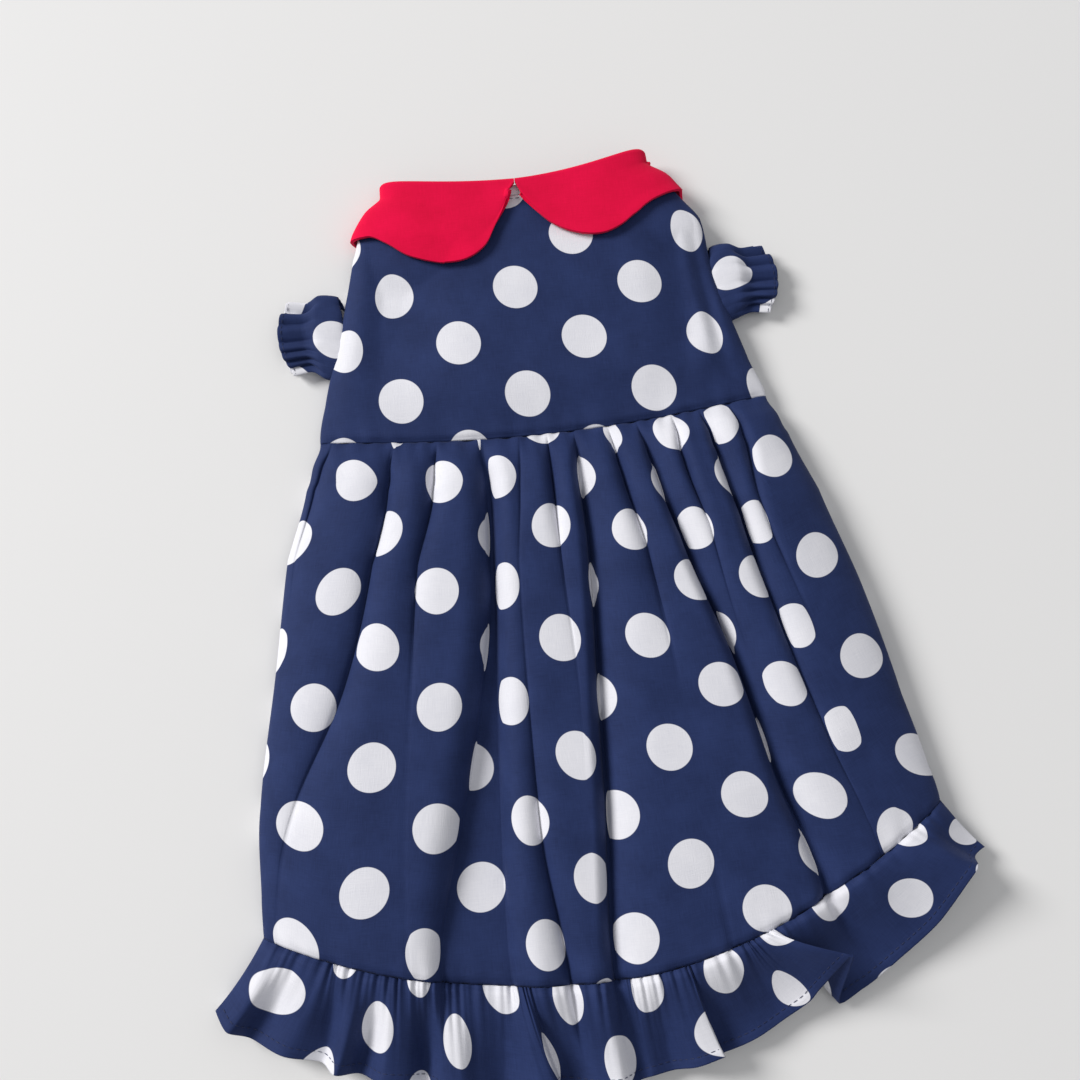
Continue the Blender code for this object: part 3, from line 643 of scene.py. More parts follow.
def cut_armhole(piece, side, sections):
    """Takes out the bodice's cloth inside a sleeve's seam."""
    middle = float(eased(0.3, column(sections, 0), column(sections, 1)))
    wide = SLEEVE_WIDTH / 2 * float(eased(0.3, column(sections, 0), column(sections, 2))) - 0.0030
    tall = SLEEVE_HEIGHT / 2
    edge = side * float(bodice_half(middle)) + float(bodice_shift(middle))
    place = WAIST_Y + BODICE_LENGTH * middle
    mesh = bmesh.new()
    mesh.from_mesh(piece.data)
    inside = []
    for face in mesh.faces:
        spot = face.calc_center_median()
        near = side * (edge - spot.x) < 0.012
        if near and ((spot.y - place) / wide) ** 2 + ((spot.z - tall) / (tall - 0.0016)) ** 2 < 1:
            inside.append(face)
    bmesh.ops.delete(mesh, geom=inside, context="FACES")
    mesh.to_mesh(piece.data)
    mesh.free()


def smooth_ends(share, pull):
    """Rows that lie closer together near both ends."""
    return (1 - pull) * (0.6 * share + 0.4 * smooth(share)) + pull * share


def fold_print(across, down):
    """The print's column over the skirt: even between folds, with jumps where a fold hides cloth."""
    rows = down[:, 0]
    stops = [np.full_like(rows, -1.0)]
    values = [eased(rows, SKIRT_HEIGHTS, SKIRT_EDGE_LEFT)]
    hide = 0.0011 / skirt_half(rows)
    for place, _depths, channel, _left, _right, lip_left, lip_right in SKIRT_FOLDS:
        line = eased(rows, SKIRT_HEIGHTS, place)
        floor = channel * eased(rows, SKIRT_HEIGHTS, CHANNEL_FLOOR)
        left_lip = eased(rows, SKIRT_HEIGHTS, lip_left)
        right_lip = eased(rows, SKIRT_HEIGHTS, lip_right)
        hidden = right_lip - left_lip
        near = hide * np.clip(hidden / 0.15, 0.002, 1.0)
        seen = np.minimum(0.9 * hidden, floor * skirt_half(rows) / DOT_ACROSS)
        start = left_lip + (0.7 if channel else 0.5) * (hidden - seen)
        stops += [line - near, line + 0.2 * near]
        values += [left_lip, start]
        if channel:
            stops += [line + floor]
            values += [start + seen]
            line = line + floor
        stops += [line + near * (2.0 if channel else 1.0)]
        values += [right_lip]
    stops.append(np.full_like(rows, 1.0))
    values.append(eased(rows, SKIRT_HEIGHTS, SKIRT_EDGE_RIGHT))
    stops = np.stack(stops, axis=1)
    values = np.stack(values, axis=1)
    result = np.empty_like(across)
    for row in range(across.shape[0]):
        result[row] = np.interp(across[row], stops[row], values[row])
    return result


def make_skirt():
    down = smooth_ends(np.linspace(1.0, 0.0, 124), 0.02)
    lines = []
    for place, _depths, channel, _left, _right, _lip_left, _lip_right in SKIRT_FOLDS:
        line = eased(down, SKIRT_HEIGHTS, place)
        lines.append(line)
        if channel:
            lines.append(line + eased(down, SKIRT_HEIGHTS, CHANNEL_FLOOR))
    across = panel_places(lines)
    grid = np.broadcast_to(down[:, None], across.shape)
    x, y, z = skirt_top(across, grid)
    rounded = side_round(across)
    waist = np.abs(skirt_y(across, 0.0) - y)
    hem = np.abs(y - skirt_y(across, 1.0))
    z = z - (seam_dip(waist) + seam_dip(hem)) * rounded
    gather = np.sin(x / 0.00125 + 1.5 * np.sin(x / 0.009)) + 0.5 * np.sin(x / 0.0023)
    z = z + 0.00045 * gather * np.exp(-waist / 0.007) * rounded
    gather = np.sin(x / 0.0017 + 1.5 * np.sin(x / 0.011))
    z = z + 0.00045 * gather * np.exp(-hem / 0.006) * rounded
    u = fold_print(across, grid)
    first = eased(across, column(SKIRT_PRINT, 0), column(SKIRT_PRINT, 1))
    pitch = eased(across, column(SKIRT_PRINT, 0), column(SKIRT_PRINT, 2))
    v = (WAIST_Y - y - first) / pitch

    def y_at(side):
        return skirt_back_y(side, down[:, None])

    under = under_side(x[:, 0], x[:, -1], 0 * down, SIDE_ROLL, y_at)
    piece = sewn_tube("skirt_cloth", (x, y, z), under, u, v, SKIRT_BACK_COLUMNS)
    thickened(piece, CLOTH)
    return piece


def make_ruffle():
    out = smooth_ends(np.linspace(1.0, 0.0, 44), 0.02)
    last = len(RUFFLE_WAVES) - 1
    wave = np.linspace(0, last, last * 14 + 1)
    grid_wave, grid_out = np.meshgrid(wave, out)
    x, y, z = ruffle_top(grid_wave, grid_out)
    edge = smooth(np.minimum(grid_wave, last - grid_wave) / 1.2)
    tuck = np.abs(np.sin(math.pi * grid_wave * 1.5 + 0.8 * np.sin(1.7 * grid_wave)))
    fine = np.abs(np.sin(math.pi * grid_wave * 2.7 + 1.1 * np.sin(0.9 * grid_wave)))
    z = z + (0.0016 * tuck + 0.0009 * fine - 0.0012) * np.exp(-grid_out * 4.0) * edge
    z = z - seam_dip(grid_out * RUFFLE_DEPTH) * edge
    turned = smooth((grid_out - (1 - HEM_TURN / RUFFLE_DEPTH)) / 0.02)
    z = z + 0.0004 * turned
    u = np.interp(grid_wave, column(RUFFLE_PRINT, 0), column(RUFFLE_PRINT, 1))
    first = np.interp(grid_wave, column(RUFFLE_PRINT, 0), column(RUFFLE_PRINT, 2))
    v = (grid_out - first) * RUFFLE_DEPTH / DOT_DOWN
    left_y, right_y = y[:, :1], y[:, -1:]

    def y_at(side):
        return mixed(left_y, right_y, (side + 1) / 2) - BACK_HEM_LIFT * (1 - side * side)

    under = under_side(x[:, 0], x[:, -1], 0 * out, z[:, 0], y_at)
    piece = sewn_tube("ruffle_cloth", (x, y, z), under, u, v, RUFFLE_BACK_COLUMNS)
    thickened(piece, CLOTH)
    return piece


def roll_inset(middle, z):
    """How far inside the bodice's side edge its outer face lies at this height."""
    below = np.clip((SIDE_ROLL - z) / SIDE_ROLL, 0, 1)
    low = SIDE_ROLL * (1 - np.sqrt(1 - below ** 2))
    rise = bodice_height(middle) - SIDE_ROLL
    above = np.clip((z - SIDE_ROLL) / rise, 0, 0.98)
    high = bodice_half(middle) * (1 - (1 - above ** 2) ** (1 / CROSS_ROUND))
    return np.where(z < SIDE_ROLL, low, high)


def sleeve_rows(side, sections):
    """Rows of a sleeve from its armhole seam to its hem."""
    stations = column(sections, 0)
    angle = np.linspace(0, 2 * math.pi, SLEEVE_COLUMNS)[None, :] * side
    cos, sin = np.cos(angle), np.sin(angle)
    flat_cos = np.sign(cos) * np.abs(cos) ** 0.8
    flat_sin = np.sign(sin) * np.abs(sin) ** 0.8
    seam_middle = eased(0.3, stations, column(sections, 1))
    seam_z = SLEEVE_HEIGHT * eased(0.3, stations, column(sections, 3)) * (1 + flat_sin) / 2
    seam = (SLEEVE_SINK - roll_inset(seam_middle, seam_z)) / (SLEEVE_SINK + SLEEVE_REACH)
    reach = mixed(seam, 1.0, np.linspace(0, 1, SLEEVE_ROWS)[:, None])
    middle = eased(reach, stations, column(sections, 1))
    width = SLEEVE_WIDTH * eased(reach, stations, column(sections, 2))
    tall = SLEEVE_HEIGHT * eased(reach, stations, column(sections, 3)) / 2
    elastic = np.exp(-((reach - SLEEVE_ELASTIC) / 0.15) ** 2)
    gather = elastic + 0.75 * smooth((reach - SLEEVE_ELASTIC) / 0.2)
    gather = gather + 0.30 * np.exp(-(reach - seam) / 0.08)
    pleat = 1 - np.abs(np.sin(0.5 * SLEEVE_PLEATS * angle + 0.9 * np.sin(3 * angle + 0.6)))
    pleat = pleat + 0.35 * np.cos(7 * angle + 1.0)
    depth = SLEEVE_GATHER * gather * pleat + SEAM_PULL * 0.5 * np.exp(-(reach - seam) / 0.03)
    edge = bodice_half(middle)
    x = mixed(edge - SLEEVE_SINK, edge + SLEEVE_REACH, reach)
    x = x - SLEEVE_HEM_BOW * SLEEVE_REACH * reach ** 2 * flat_cos ** 2
    x = bodice_shift(middle) + side * x
    y = WAIST_Y + BODICE_LENGTH * middle + (width / 2 - 0.8 * depth) * flat_cos
    z = np.maximum(tall + (tall - depth) * flat_sin, 0.0002)
    step = np.hypot(np.diff(SLEEVE_WIDTH / 2 * flat_cos), np.diff(SLEEVE_HEIGHT / 2 * flat_sin))
    round_way = np.concatenate([[[0.0]], np.cumsum(step, axis=1)], axis=1)
    u = 1.15 * round_way / DOT_ACROSS + 0 * reach
    v = reach * (SLEEVE_REACH + SLEEVE_SINK) / DOT_DOWN
    return x, y, z, u, v


def make_sleeve(name, side, sections, shift):
    x, y, z, u, v = sleeve_rows(side, sections)
    piece = cloth_mesh(name, x, y, z, u + shift[0], v + shift[1])
    closed(piece)
    only(piece)
    bpy.ops.object.mode_set(mode="EDIT")
    bpy.ops.mesh.select_all(action="SELECT")
    bpy.ops.mesh.normals_make_consistent(inside=False)
    bpy.ops.object.mode_set(mode="OBJECT")
    thickened(piece, CLOTH)
    return piece


# The collar and the neck's binding

def skin_base(side, turn, y):
    """Points on the bodice near the neck; turn is 0 in front, 1 at the side, 3 behind."""
    across = side * np.minimum(turn, 1.0)
    waist_y = bodice_y(across, 0.0)
    up = np.minimum((y - waist_y) / (bodice_y(across, 1.0) - waist_y), 1.0)
    x, _y, z = bodice_top(across, up)
    half = bodice_half(up)
    angle = 0.5 * math.pi * np.clip(turn - 1.0, 0.0, 1.0)
    inset = SIDE_ROLL * (1.0 - np.cos(angle)) + (half - SIDE_ROLL) * np.maximum(turn - 2.0, 0.0)
    under_z = under_level(up) + SIDE_ROLL * (1.0 - np.sin(angle))
    under_x = bodice_shift(up) + side * (half - inset)
    front = turn <= 1.0
    return np.stack([np.where(front, x, under_x), y, np.where(front, z, under_z)], axis=-1)


def skin_point(side, turn, y, outside):
    step = 0.002
    base = skin_base(side, turn, y)
    around = skin_base(side, turn + step, y) - skin_base(side, np.maximum(turn - step, 0.0), y)
    along = skin_base(side, turn, y - 0.0003) - skin_base(side, turn, y + 0.0003)
    normal = np.cross(along, around)
    normal = side * normal / np.linalg.norm(normal, axis=-1, keepdims=True)
    return base + normal * np.asarray(outside)[..., None]


def make_collar(name, side, flap):
    """One collar half: a strip over the neck's edge that falls outwards as a flap."""
    front = 0.5 - 0.5 * np.cos(np.linspace(0, math.pi, 84))
    behind = np.linspace(1.04, 3.0 - COLLAR_OPENING / NECK_WIDTH, 60)
    neck = np.concatenate([mixed(COLLAR_MEETING, 1.0, front), behind])
    stations = column(flap, 0)
    edge = np.where(neck <= 1, eased(neck, stations, column(flap, 1)), neck)
    side_drop = flap[-1][2] * COLLAR_DROP
    front_drop = COLLAR_DROP * eased(neck, stations, column(flap, 2))
    back_drop = mixed(side_drop, COLLAR_BACK_DROP, np.clip(neck - 1, 0, 1))
    drop = np.where(neck <= 1, front_drop, back_drop)[:, None]
    neck, edge = neck[:, None], edge[:, None]
    over = COLLAR_EASE + COLLAR_WALL
    away = 1 - np.where(neck <= 1, neck, (3 - neck) / 2)
    mirrored = 1.06 - np.sqrt(away ** 2 + 0.0036)
    top = bodice_y(side * mirrored, 1.0) + 0.0009 + BINDING_WIDTH + COLLAR_WALL
    turn_in = np.array([-0.6, -0.3])[None, :]
    arc = np.linspace(0, math.pi / 2, 8)[None, :]
    fall = smooth_ends(np.linspace(0, 1, 44), 0.1)[None, 1:]
    bend = 0.0026
    lips = skin_point(side, neck + 0 * turn_in, top + 0 * turn_in, turn_in * 0.001)
    over_points = skin_point(side, neck + 0 * arc, top - bend * (1 - np.cos(arc)),
                             over * np.sin(arc))
    turn = mixed(neck, edge, fall)
    y = mixed(top - bend, top - drop, fall)
    lift = 0.0005 * np.sin(math.pi * fall) + 0.0004 * smooth((fall - 0.8) / 0.2)
    falls = skin_point(side, turn, y, over + lift * np.clip(1.6 - neck, 0, 1))
    points = np.concatenate([lips, over_points, falls], axis=1)
    rows = points if side > 0 else points[::-1]
    distance = np.linspace(0, 1, points.shape[1])[None, :] + 0 * neck
    piece = cloth_mesh(name, rows[..., 0].T[::-1], rows[..., 1].T[::-1], rows[..., 2].T[::-1],
                       (neck + 0 * distance).T[::-1], distance.T[::-1])
    thickened(piece, FELT)
    bevel = piece.modifiers.new("Soft edge", "BEVEL")
    bevel.width = 0.0006
    bevel.segments = 3
    bevel.limit_method = "ANGLE"
    bevel.angle_limit = math.radians(55)
    only(piece)
    bpy.ops.object.modifier_apply(modifier=bevel.name)
    bpy.ops.object.shade_smooth()
    return piece


def make_binding():
    """The bound neck edge, a narrow band that rounds over the neck's rim."""
    share = np.linspace(0.0, 1.0, 14)
    lines = [0 * share - 0.5, 0 * share, 0 * share + 0.5]
    across = panel_places(lines)
    x, y, z = bodice_top(across, 1.0 + 0 * across)
    y = y + 0.0003 + BINDING_WIDTH * share[:, None]
    crown = 0.0005 * np.sin(math.pi * share[:, None]) * side_round(across)
    z = z + crown - 0.0003
    u, v = bodice_print(x, y, across, 1.0 + 0 * across)

    def y_at(side):
        return WAIST_Y + BODICE_LENGTH + bodice_lift(side) + 0.0003 + BINDING_WIDTH * share[:, None]

    level = (COLLAR_WALL + COLLAR_EASE) * np.ones_like(share)
    under = under_side(x[:, 0], x[:, -1], level, SIDE_ROLL, y_at)
    piece = sewn_tube("neck_binding_cloth", (x, y, z), under, u, v, BINDING_BACK_COLUMNS)
    thickened(piece, BINDING_CLOTH)
    return piece


# Stitching

def make_stitch():
    """One thread stitch, as a bead of unit size that every stitched line copies."""
    bpy.ops.object.select_all(action="DESELECT")
    bpy.ops.mesh.primitive_uv_sphere_add(segments=6, ring_count=4, radius=1, calc_uvs=False)
    bpy.ops.object.shade_smooth()
    return bpy.context.object


def stitch_row(name, points, stitch, material):
    """Copies of the stitch along a line of points, joined."""
    steps = np.linalg.norm(np.diff(points, axis=0), axis=1)
    run = np.concatenate([[0], np.cumsum(steps)])
    copies = []
    for start in np.arange(0.0005, run[-1] - STITCH_LENGTH, STITCH_STEP):
        ends = []
        for place in (start, start + STITCH_LENGTH):
            ends.append(Vector([np.interp(place, run, points[:, axis]) for axis in range(3)]))
        way = ends[1] - ends[0]
        if way.length < STITCH_LENGTH * 0.2:
            continue
        turn = Vector((0, 0, 1)).rotation_difference(way).to_matrix().to_4x4()
        stretch = Matrix.Diagonal((STITCH_RADIUS, STITCH_RADIUS, way.length / 2, 1))
        one = stitch.copy()
        one.data = stitch.data.copy()
        one.data.transform(Matrix.Translation((ends[0] + ends[1]) / 2) @ turn @ stretch)
        bpy.context.collection.objects.link(one)
        copies.append(one)
    piece = copies[0]
    only(piece)
    for one in copies:
        one.select_set(True)
    bpy.ops.object.join()
    piece.name = name
    piece.data.name = name
    piece.data.materials.append(material)
    return piece


def hem_stitch_line(out):
    wave = np.linspace(0.3, len(RUFFLE_WAVES) - 1.3, 1500)
    x, y, z = ruffle_top(wave, out + 0 * wave)
    return np.stack([x, y, z + 0.0003], axis=-1)


def sleeve_stitch_line(side, sections):
    """The upper half of the stitched line round a sleeve's hem."""
    x, y, z, _u, _v = sleeve_rows(side, sections)
    row = int(SLEEVE_ROWS * SLEEVE_STITCH)
    upper = z[row] > z[row].mean()
    return np.stack([x[row], y[row], z[row] + 0.00025], axis=-1)[upper]


def neck_stitch_line():
    across = np.linspace(-0.95, 0.95, 400)
    x, y, z = bodice_top(across, 0.985 + 0 * across)
    return np.stack([x, y, z + 0.0003], axis=-1)


# Materials

def group_socket(group, name, kind, way):
    return group.interface.new_socket(name=name, in_out=way, socket_type=kind)


def node(tree, kind, place, **values):
    made = tree.nodes.new(kind)
    made.location = place
    for key, value in values.items():
        setattr(made, key, value)
    return made


def dots_group():
    """Round printed dots in half-drop rows, from the cloth's own print coordinates."""
    tree = bpy.data.node_groups.new("Printed dots", "ShaderNodeTree")
    group_socket(tree, "Print", "NodeSocketVector", "INPUT")
    group_socket(tree, "Radius", "NodeSocketFloat", "INPUT")
    group_socket(tree, "Dots", "NodeSocketFloat", "OUTPUT")
    start = node(tree, "NodeGroupInput", (-1400, 0))
    end = node(tree, "NodeGroupOutput", (600, 0))
    masks = []
    for index, shift in enumerate(((0.0, 0.0), (1.0, 0.5))):
        move = node(tree, "ShaderNodeVectorMath", (-1200, 300 * index), operation="ADD")
        move.inputs[1].default_value = (-shift[0] + 1.0, -shift[1] + 0.5, 0.0)
        tree.links.new(start.outputs["Print"], move.inputs[0])
        wrap = node(tree, "ShaderNodeVectorMath", (-1000, 300 * index), operation="WRAP")
        wrap.inputs[1].default_value = (1.0, 0.5, 1.0)
        wrap.inputs[2].default_value = (-1.0, -0.5, -1.0)
        centre = node(tree, "ShaderNodeVectorMath", (-1100, 300 * index), operation="SUBTRACT")
        centre.inputs[1].default_value = (1.0, 0.5, 0.0)
        tree.links.new(move.outputs[0], centre.inputs[0])
        tree.links.new(centre.outputs[0], wrap.inputs[0])
        scale = node(tree, "ShaderNodeVectorMath", (-800, 300 * index), operation="MULTIPLY")
        scale.inputs[1].default_value = (DOT_ACROSS * 1000, DOT_DOWN * 1000, 0.0)
        tree.links.new(wrap.outputs[0], scale.inputs[0])
        length = node(tree, "ShaderNodeVectorMath", (-600, 300 * index), operation="LENGTH")
        tree.links.new(scale.outputs[0], length.inputs[0])
        masks.append(length.outputs["Value"])
    nearest = node(tree, "ShaderNodeMath", (-400, 100), operation="MINIMUM")
    tree.links.new(masks[0], nearest.inputs[0])
    tree.links.new(masks[1], nearest.inputs[1])
    away = node(tree, "ShaderNodeMath", (-200, 100), operation="SUBTRACT")
    tree.links.new(start.outputs["Radius"], away.inputs[0])
    tree.links.new(nearest.outputs[0], away.inputs[1])
    sharp = node(tree, "ShaderNodeMath", (0, 100), operation="MULTIPLY_ADD")
    sharp.use_clamp = True
    sharp.inputs[1].default_value = 4.0
    sharp.inputs[2].default_value = 0.5
    tree.links.new(away.outputs[0], sharp.inputs[0])
    tree.links.new(sharp.outputs[0], end.inputs["Dots"])
    return tree


def weave_group():
    """Uneven threads of a plain weave: a height and a light and dark mottle."""
    tree = bpy.data.node_groups.new("Plain weave", "ShaderNodeTree")
    group_socket(tree, "Cloth", "NodeSocketVector", "INPUT")
    group_socket(tree, "Height", "NodeSocketFloat", "OUTPUT")
    group_socket(tree, "Mottle", "NodeSocketFloat", "OUTPUT")
    start = node(tree, "NodeGroupInput", (-1200, 0))
    end = node(tree, "NodeGroupOutput", (600, 0))
    heights = []
    for index, size in enumerate(((2600.0, 150.0, 1.0), (150.0, 2600.0, 1.0))):
        scale = node(tree, "ShaderNodeVectorMath", (-1000, 300 * index), operation="MULTIPLY")
        scale.inputs[1].default_value = size
        tree.links.new(start.outputs["Cloth"], scale.inputs[0])
        noise = node(tree, "ShaderNodeTexNoise", (-800, 300 * index))
        noise.inputs["Scale"].default_value = 1.0
        noise.inputs["Detail"].default_value = 2.0
        tree.links.new(scale.outputs[0], noise.inputs["Vector"])
        heights.append(noise.outputs["Fac"])
    both = node(tree, "ShaderNodeMath", (-500, 100), operation="ADD")
    tree.links.new(heights[0], both.inputs[0])
    tree.links.new(heights[1], both.inputs[1])
    half = node(tree, "ShaderNodeMath", (-300, 100), operation="MULTIPLY")
    half.inputs[1].default_value = 0.5
    tree.links.new(both.outputs[0], half.inputs[0])
    tree.links.new(half.outputs[0], end.inputs["Height"])
    patch = node(tree, "ShaderNodeTexNoise", (-500, -300))
    patch.inputs["Scale"].default_value = 55.0
    patch.inputs["Detail"].default_value = 3.0
    tree.links.new(start.outputs["Cloth"], patch.inputs["Vector"])
    blend = node(tree, "ShaderNodeMath", (-200, -200), operation="MULTIPLY_ADD")
    blend.inputs[1].default_value = 0.45
    tree.links.new(patch.outputs["Fac"], blend.inputs[0])
    part = node(tree, "ShaderNodeMath", (-350, -400), operation="MULTIPLY")
    part.inputs[1].default_value = 0.55
    tree.links.new(half.outputs[0], part.inputs[0])
    tree.links.new(part.outputs[0], blend.inputs[2])
    tree.links.new(blend.outputs[0], end.inputs["Mottle"])
    return tree


def new_material(name, roughness):
    material = bpy.data.materials.new(name)
    material.use_nodes = True
    shader = material.node_tree.nodes["Principled BSDF"]
    shader.inputs["Roughness"].default_value = roughness
    shader.inputs["Metallic"].default_value = 0.0
    return material, material.node_tree, shader


def cloth_coordinates(tree, place):
    """The print coordinates turned into metres along the cloth."""
    uv = node(tree, "ShaderNodeUVMap", place, uv_map="print")
    scale = node(tree, "ShaderNodeVectorMath", (place[0] + 200, place[1]), operation="MULTIPLY")
    scale.inputs[1].default_value = (DOT_ACROSS, DOT_DOWN, 1.0)
    tree.links.new(uv.outputs["UV"], scale.inputs[0])
    return uv.outputs["UV"], scale.outputs[0]


def spread_mottle(tree, grain, low, high, place):
    """The weave's mottle, spread from its own narrow range to between 0 and 1."""
    spread = node(tree, "ShaderNodeMapRange", place)
    spread.inputs["From Min"].default_value = low
    spread.inputs["From Max"].default_value = high
    tree.links.new(grain.outputs["Mottle"], spread.inputs["Value"])
    return spread.outputs["Result"]


def blended(tree, factor, dark, light, place):
    """A colour between two shades."""
    mix = node(tree, "ShaderNodeMix", place, data_type="RGBA")
    mix.inputs["A"].default_value = dark
    mix.inputs["B"].default_value = light
    tree.links.new(factor, mix.inputs["Factor"])
    return mix.outputs["Result"]


def raised_grain(tree, grain, shader, strength, distance):
    bump = node(tree, "ShaderNodeBump", (-250, -300))
    bump.inputs["Strength"].default_value = strength
    bump.inputs["Distance"].default_value = distance
    tree.links.new(grain.outputs["Height"], bump.inputs["Height"])
    tree.links.new(bump.outputs["Normal"], shader.inputs["Normal"])


def dotted_cotton(dots, weave):
    material, tree, shader = new_material("Navy dotted cotton", 0.78)
    shader.inputs["Sheen Weight"].default_value = 0.05
    shader.inputs["Sheen Roughness"].default_value = 0.45
    shader.inputs["Sheen Tint"].default_value = (0.65, 0.70, 0.95, 1.0)
    shader.inputs["Specular IOR Level"].default_value = 0.22
    uv, cloth = cloth_coordinates(tree, (-1500, 0))
    dot = node(tree, "ShaderNodeGroup", (-900, 200), node_tree=dots)
    dot.inputs["Radius"].default_value = DOT_RADIUS * 1000
    tree.links.new(uv, dot.inputs["Print"])
    grain = node(tree, "ShaderNodeGroup", (-900, -100), node_tree=weave)
    tree.links.new(cloth, grain.inputs["Cloth"])
    mottle = spread_mottle(tree, grain, 0.36, 0.64, (-700, -100))
    ground = blended(tree, mottle, NAVY, NAVY_WORN, (-500, 0))
    white = blended(tree, mottle, DOT_SHADE, DOT_WHITE, (-500, 300))
    paint = node(tree, "ShaderNodeMix", (-250, 150), data_type="RGBA")
    tree.links.new(dot.outputs["Dots"], paint.inputs["Factor"])
    tree.links.new(ground, paint.inputs["A"])
    tree.links.new(white, paint.inputs["B"])
    tree.links.new(paint.outputs["Result"], shader.inputs["Base Color"])
    raised_grain(tree, grain, shader, 0.35, 0.0004)
    return material


def red_felt(weave):
    material, tree, shader = new_material("Red collar felt", 0.9)
    shader.inputs["Sheen Weight"].default_value = 0.12
    shader.inputs["Sheen Roughness"].default_value = 0.5
    shader.inputs["Sheen Tint"].default_value = (1.0, 0.35, 0.45, 1.0)
    shader.inputs["Specular IOR Level"].default_value = 0.1
    place = node(tree, "ShaderNodeTexCoord", (-1200, 0))
    grain = node(tree, "ShaderNodeGroup", (-900, 0), node_tree=weave)
    tree.links.new(place.outputs["Object"], grain.inputs["Cloth"])
    mottle = spread_mottle(tree, grain, 0.34, 0.66, (-700, 0))
    paint = blended(tree, mottle, CRIMSON_DEEP, CRIMSON, (-450, 100))
    tree.links.new(paint, shader.inputs["Base Color"])
    raised_grain(tree, grain, shader, 0.25, 0.0003)
    return material


def thread_material(name, colour):
    material, tree, shader = new_material(name, 0.6)
    place = node(tree, "ShaderNodeTexCoord", (-800, 0))
    noise = node(tree, "ShaderNodeTexNoise", (-600, 0))
    noise.inputs["Scale"].default_value = 900.0
    tree.links.new(place.outputs["Object"], noise.inputs["Vector"])
    lit = tuple(min(1.0, 1.6 * part) for part in colour[:3]) + (1.0,)
    paint = blended(tree, noise.outputs["Fac"], colour, lit, (-300, 0))
    tree.links.new(paint, shader.inputs["Base Color"])
    return material


# The room

def make_floor():
    bpy.ops.object.select_all(action="DESELECT")
    bpy.ops.mesh.primitive_plane_add(size=6.0, location=(0, 0, -0.0001))
    floor = bpy.context.object
    floor.name = "floor"
    bpy.ops.object.transform_apply(location=True, rotation=True, scale=True)
    material, _tree, shader = new_material("Pale surface", 0.55)
    shader.inputs["Base Color"].default_value = FLOOR_COLOUR
    shader.inputs["Specular IOR Level"].default_value = 0.15
    floor.data.materials.append(material)


def make_camera():
    data = bpy.data.cameras.new("camera")
    data.lens = CAMERA_LENS
    data.sensor_width = 36.0
    camera = bpy.data.objects.new("camera", data)
    bpy.context.collection.objects.link(camera)
    right = Vector(CAMERA_RIGHT).normalized()
    up = Vector(CAMERA_UP).normalized()
    back = right.cross(up)
    turn = Matrix((right, up, back)).transposed().to_4x4()
    camera.matrix_world = Matrix.Translation(CAMERA_PLACE) @ turn
    bpy.context.scene.camera = camera


def make_light(name, place, target, size, power, colour):
    data = bpy.data.lights.new(name, "AREA")
    data.shape = "DISK"
    data.size = size
    data.energy = power
    data.color = colour
    lamp = bpy.data.objects.new(name, data)
    bpy.context.collection.objects.link(lamp)
    way = Vector(target) - Vector(place)
    lamp.matrix_world = Matrix.Translation(place) @ way.to_track_quat("-Z", "Y").to_matrix().to_4x4()


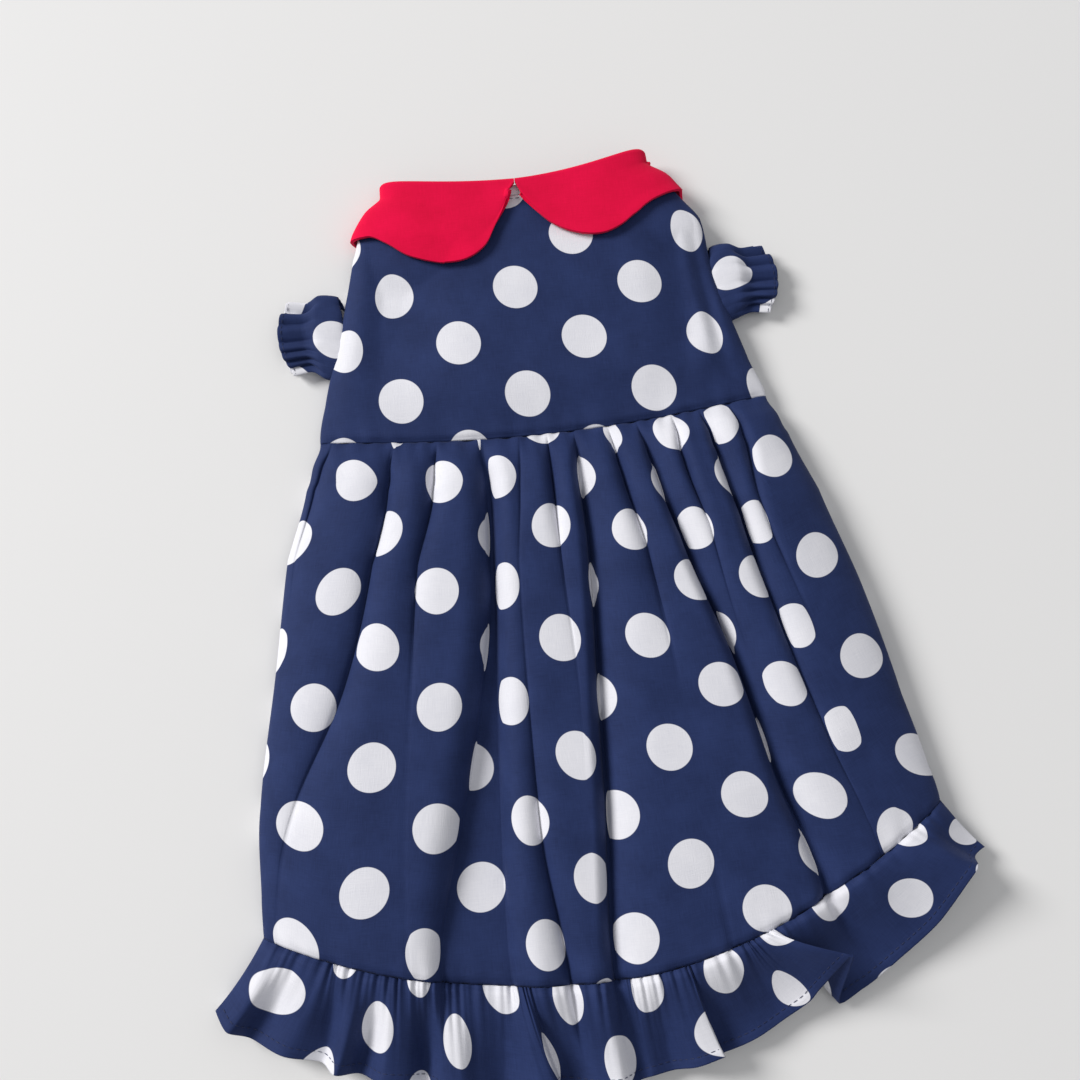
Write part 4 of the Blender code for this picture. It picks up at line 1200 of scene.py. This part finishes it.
def make_lights():
    bpy.context.scene.view_settings.view_transform = "Standard"
    make_light("window", (-3.60, 2.00, 2.70), (0, 0, 0), 2.00, 235.0, (1.0, 0.99, 0.98))
    make_light("fill", (1.0, -0.5, 3.4), (0, 0, 0), 2.4, 12.0, (0.98, 0.99, 1.0))
    world = bpy.data.worlds.new("room")
    world.use_nodes = True
    sky = world.node_tree.nodes["Background"]
    sky.inputs["Color"].default_value = (0.97, 0.98, 1.0, 1.0)
    sky.inputs["Strength"].default_value = 0.37
    bpy.context.scene.world = world


def main():
    make_camera()
    make_floor()
    make_lights()
    weave = weave_group()
    cotton = dotted_cotton(dots_group(), weave)
    felt = red_felt(weave)
    thread = thread_material("Navy thread", THREAD_NAVY)
    bodice = make_bodice()
    skirt = make_skirt()
    ruffle = make_ruffle()
    binding = make_binding()
    sleeve_left = make_sleeve("sleeve_left_cloth", -1, SLEEVE_LEFT_SECTIONS, (0.4, 0.2))
    sleeve_right = make_sleeve("sleeve_right_cloth", 1, SLEEVE_RIGHT_SECTIONS, (0.2, 0.1))
    collar_left = make_collar("collar_left_felt", -1, COLLAR_LEFT_FLAP)
    collar_right = make_collar("collar_right_felt", 1, COLLAR_RIGHT_FLAP)
    stitch = make_stitch()
    hem_line = hem_stitch_line(1 - HEM_TURN / RUFFLE_DEPTH)
    left_line = sleeve_stitch_line(-1, SLEEVE_LEFT_SECTIONS)
    right_line = sleeve_stitch_line(1, SLEEVE_RIGHT_SECTIONS)
    hem_stitches = stitch_row("hem_stitches", hem_line, stitch, thread)
    neck_stitches = stitch_row("neck_stitches", neck_stitch_line(), stitch, thread)
    cuff_left = stitch_row("sleeve_left_stitches", left_line, stitch, thread)
    cuff_right = stitch_row("sleeve_right_stitches", right_line, stitch, thread)
    bpy.data.objects.remove(stitch)
    stitches = (hem_stitches, neck_stitches, cuff_left, cuff_right)
    for piece in (bodice, skirt, ruffle, binding, sleeve_left, sleeve_right):
        piece.data.materials.clear()
        piece.data.materials.append(cotton)
    for piece in (collar_left, collar_right):
        piece.data.materials.clear()
        piece.data.materials.append(felt)
    for piece in (bodice, skirt, ruffle, binding, sleeve_left, sleeve_right,
                  collar_left, collar_right) + stitches:
        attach(piece, "root")
    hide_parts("bodice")
    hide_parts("skirt")
    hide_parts("hem_ruffle")
    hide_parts("neck_binding")
    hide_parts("sleeve_left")
    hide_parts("sleeve_right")
    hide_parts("collar_left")
    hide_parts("collar_right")


main()
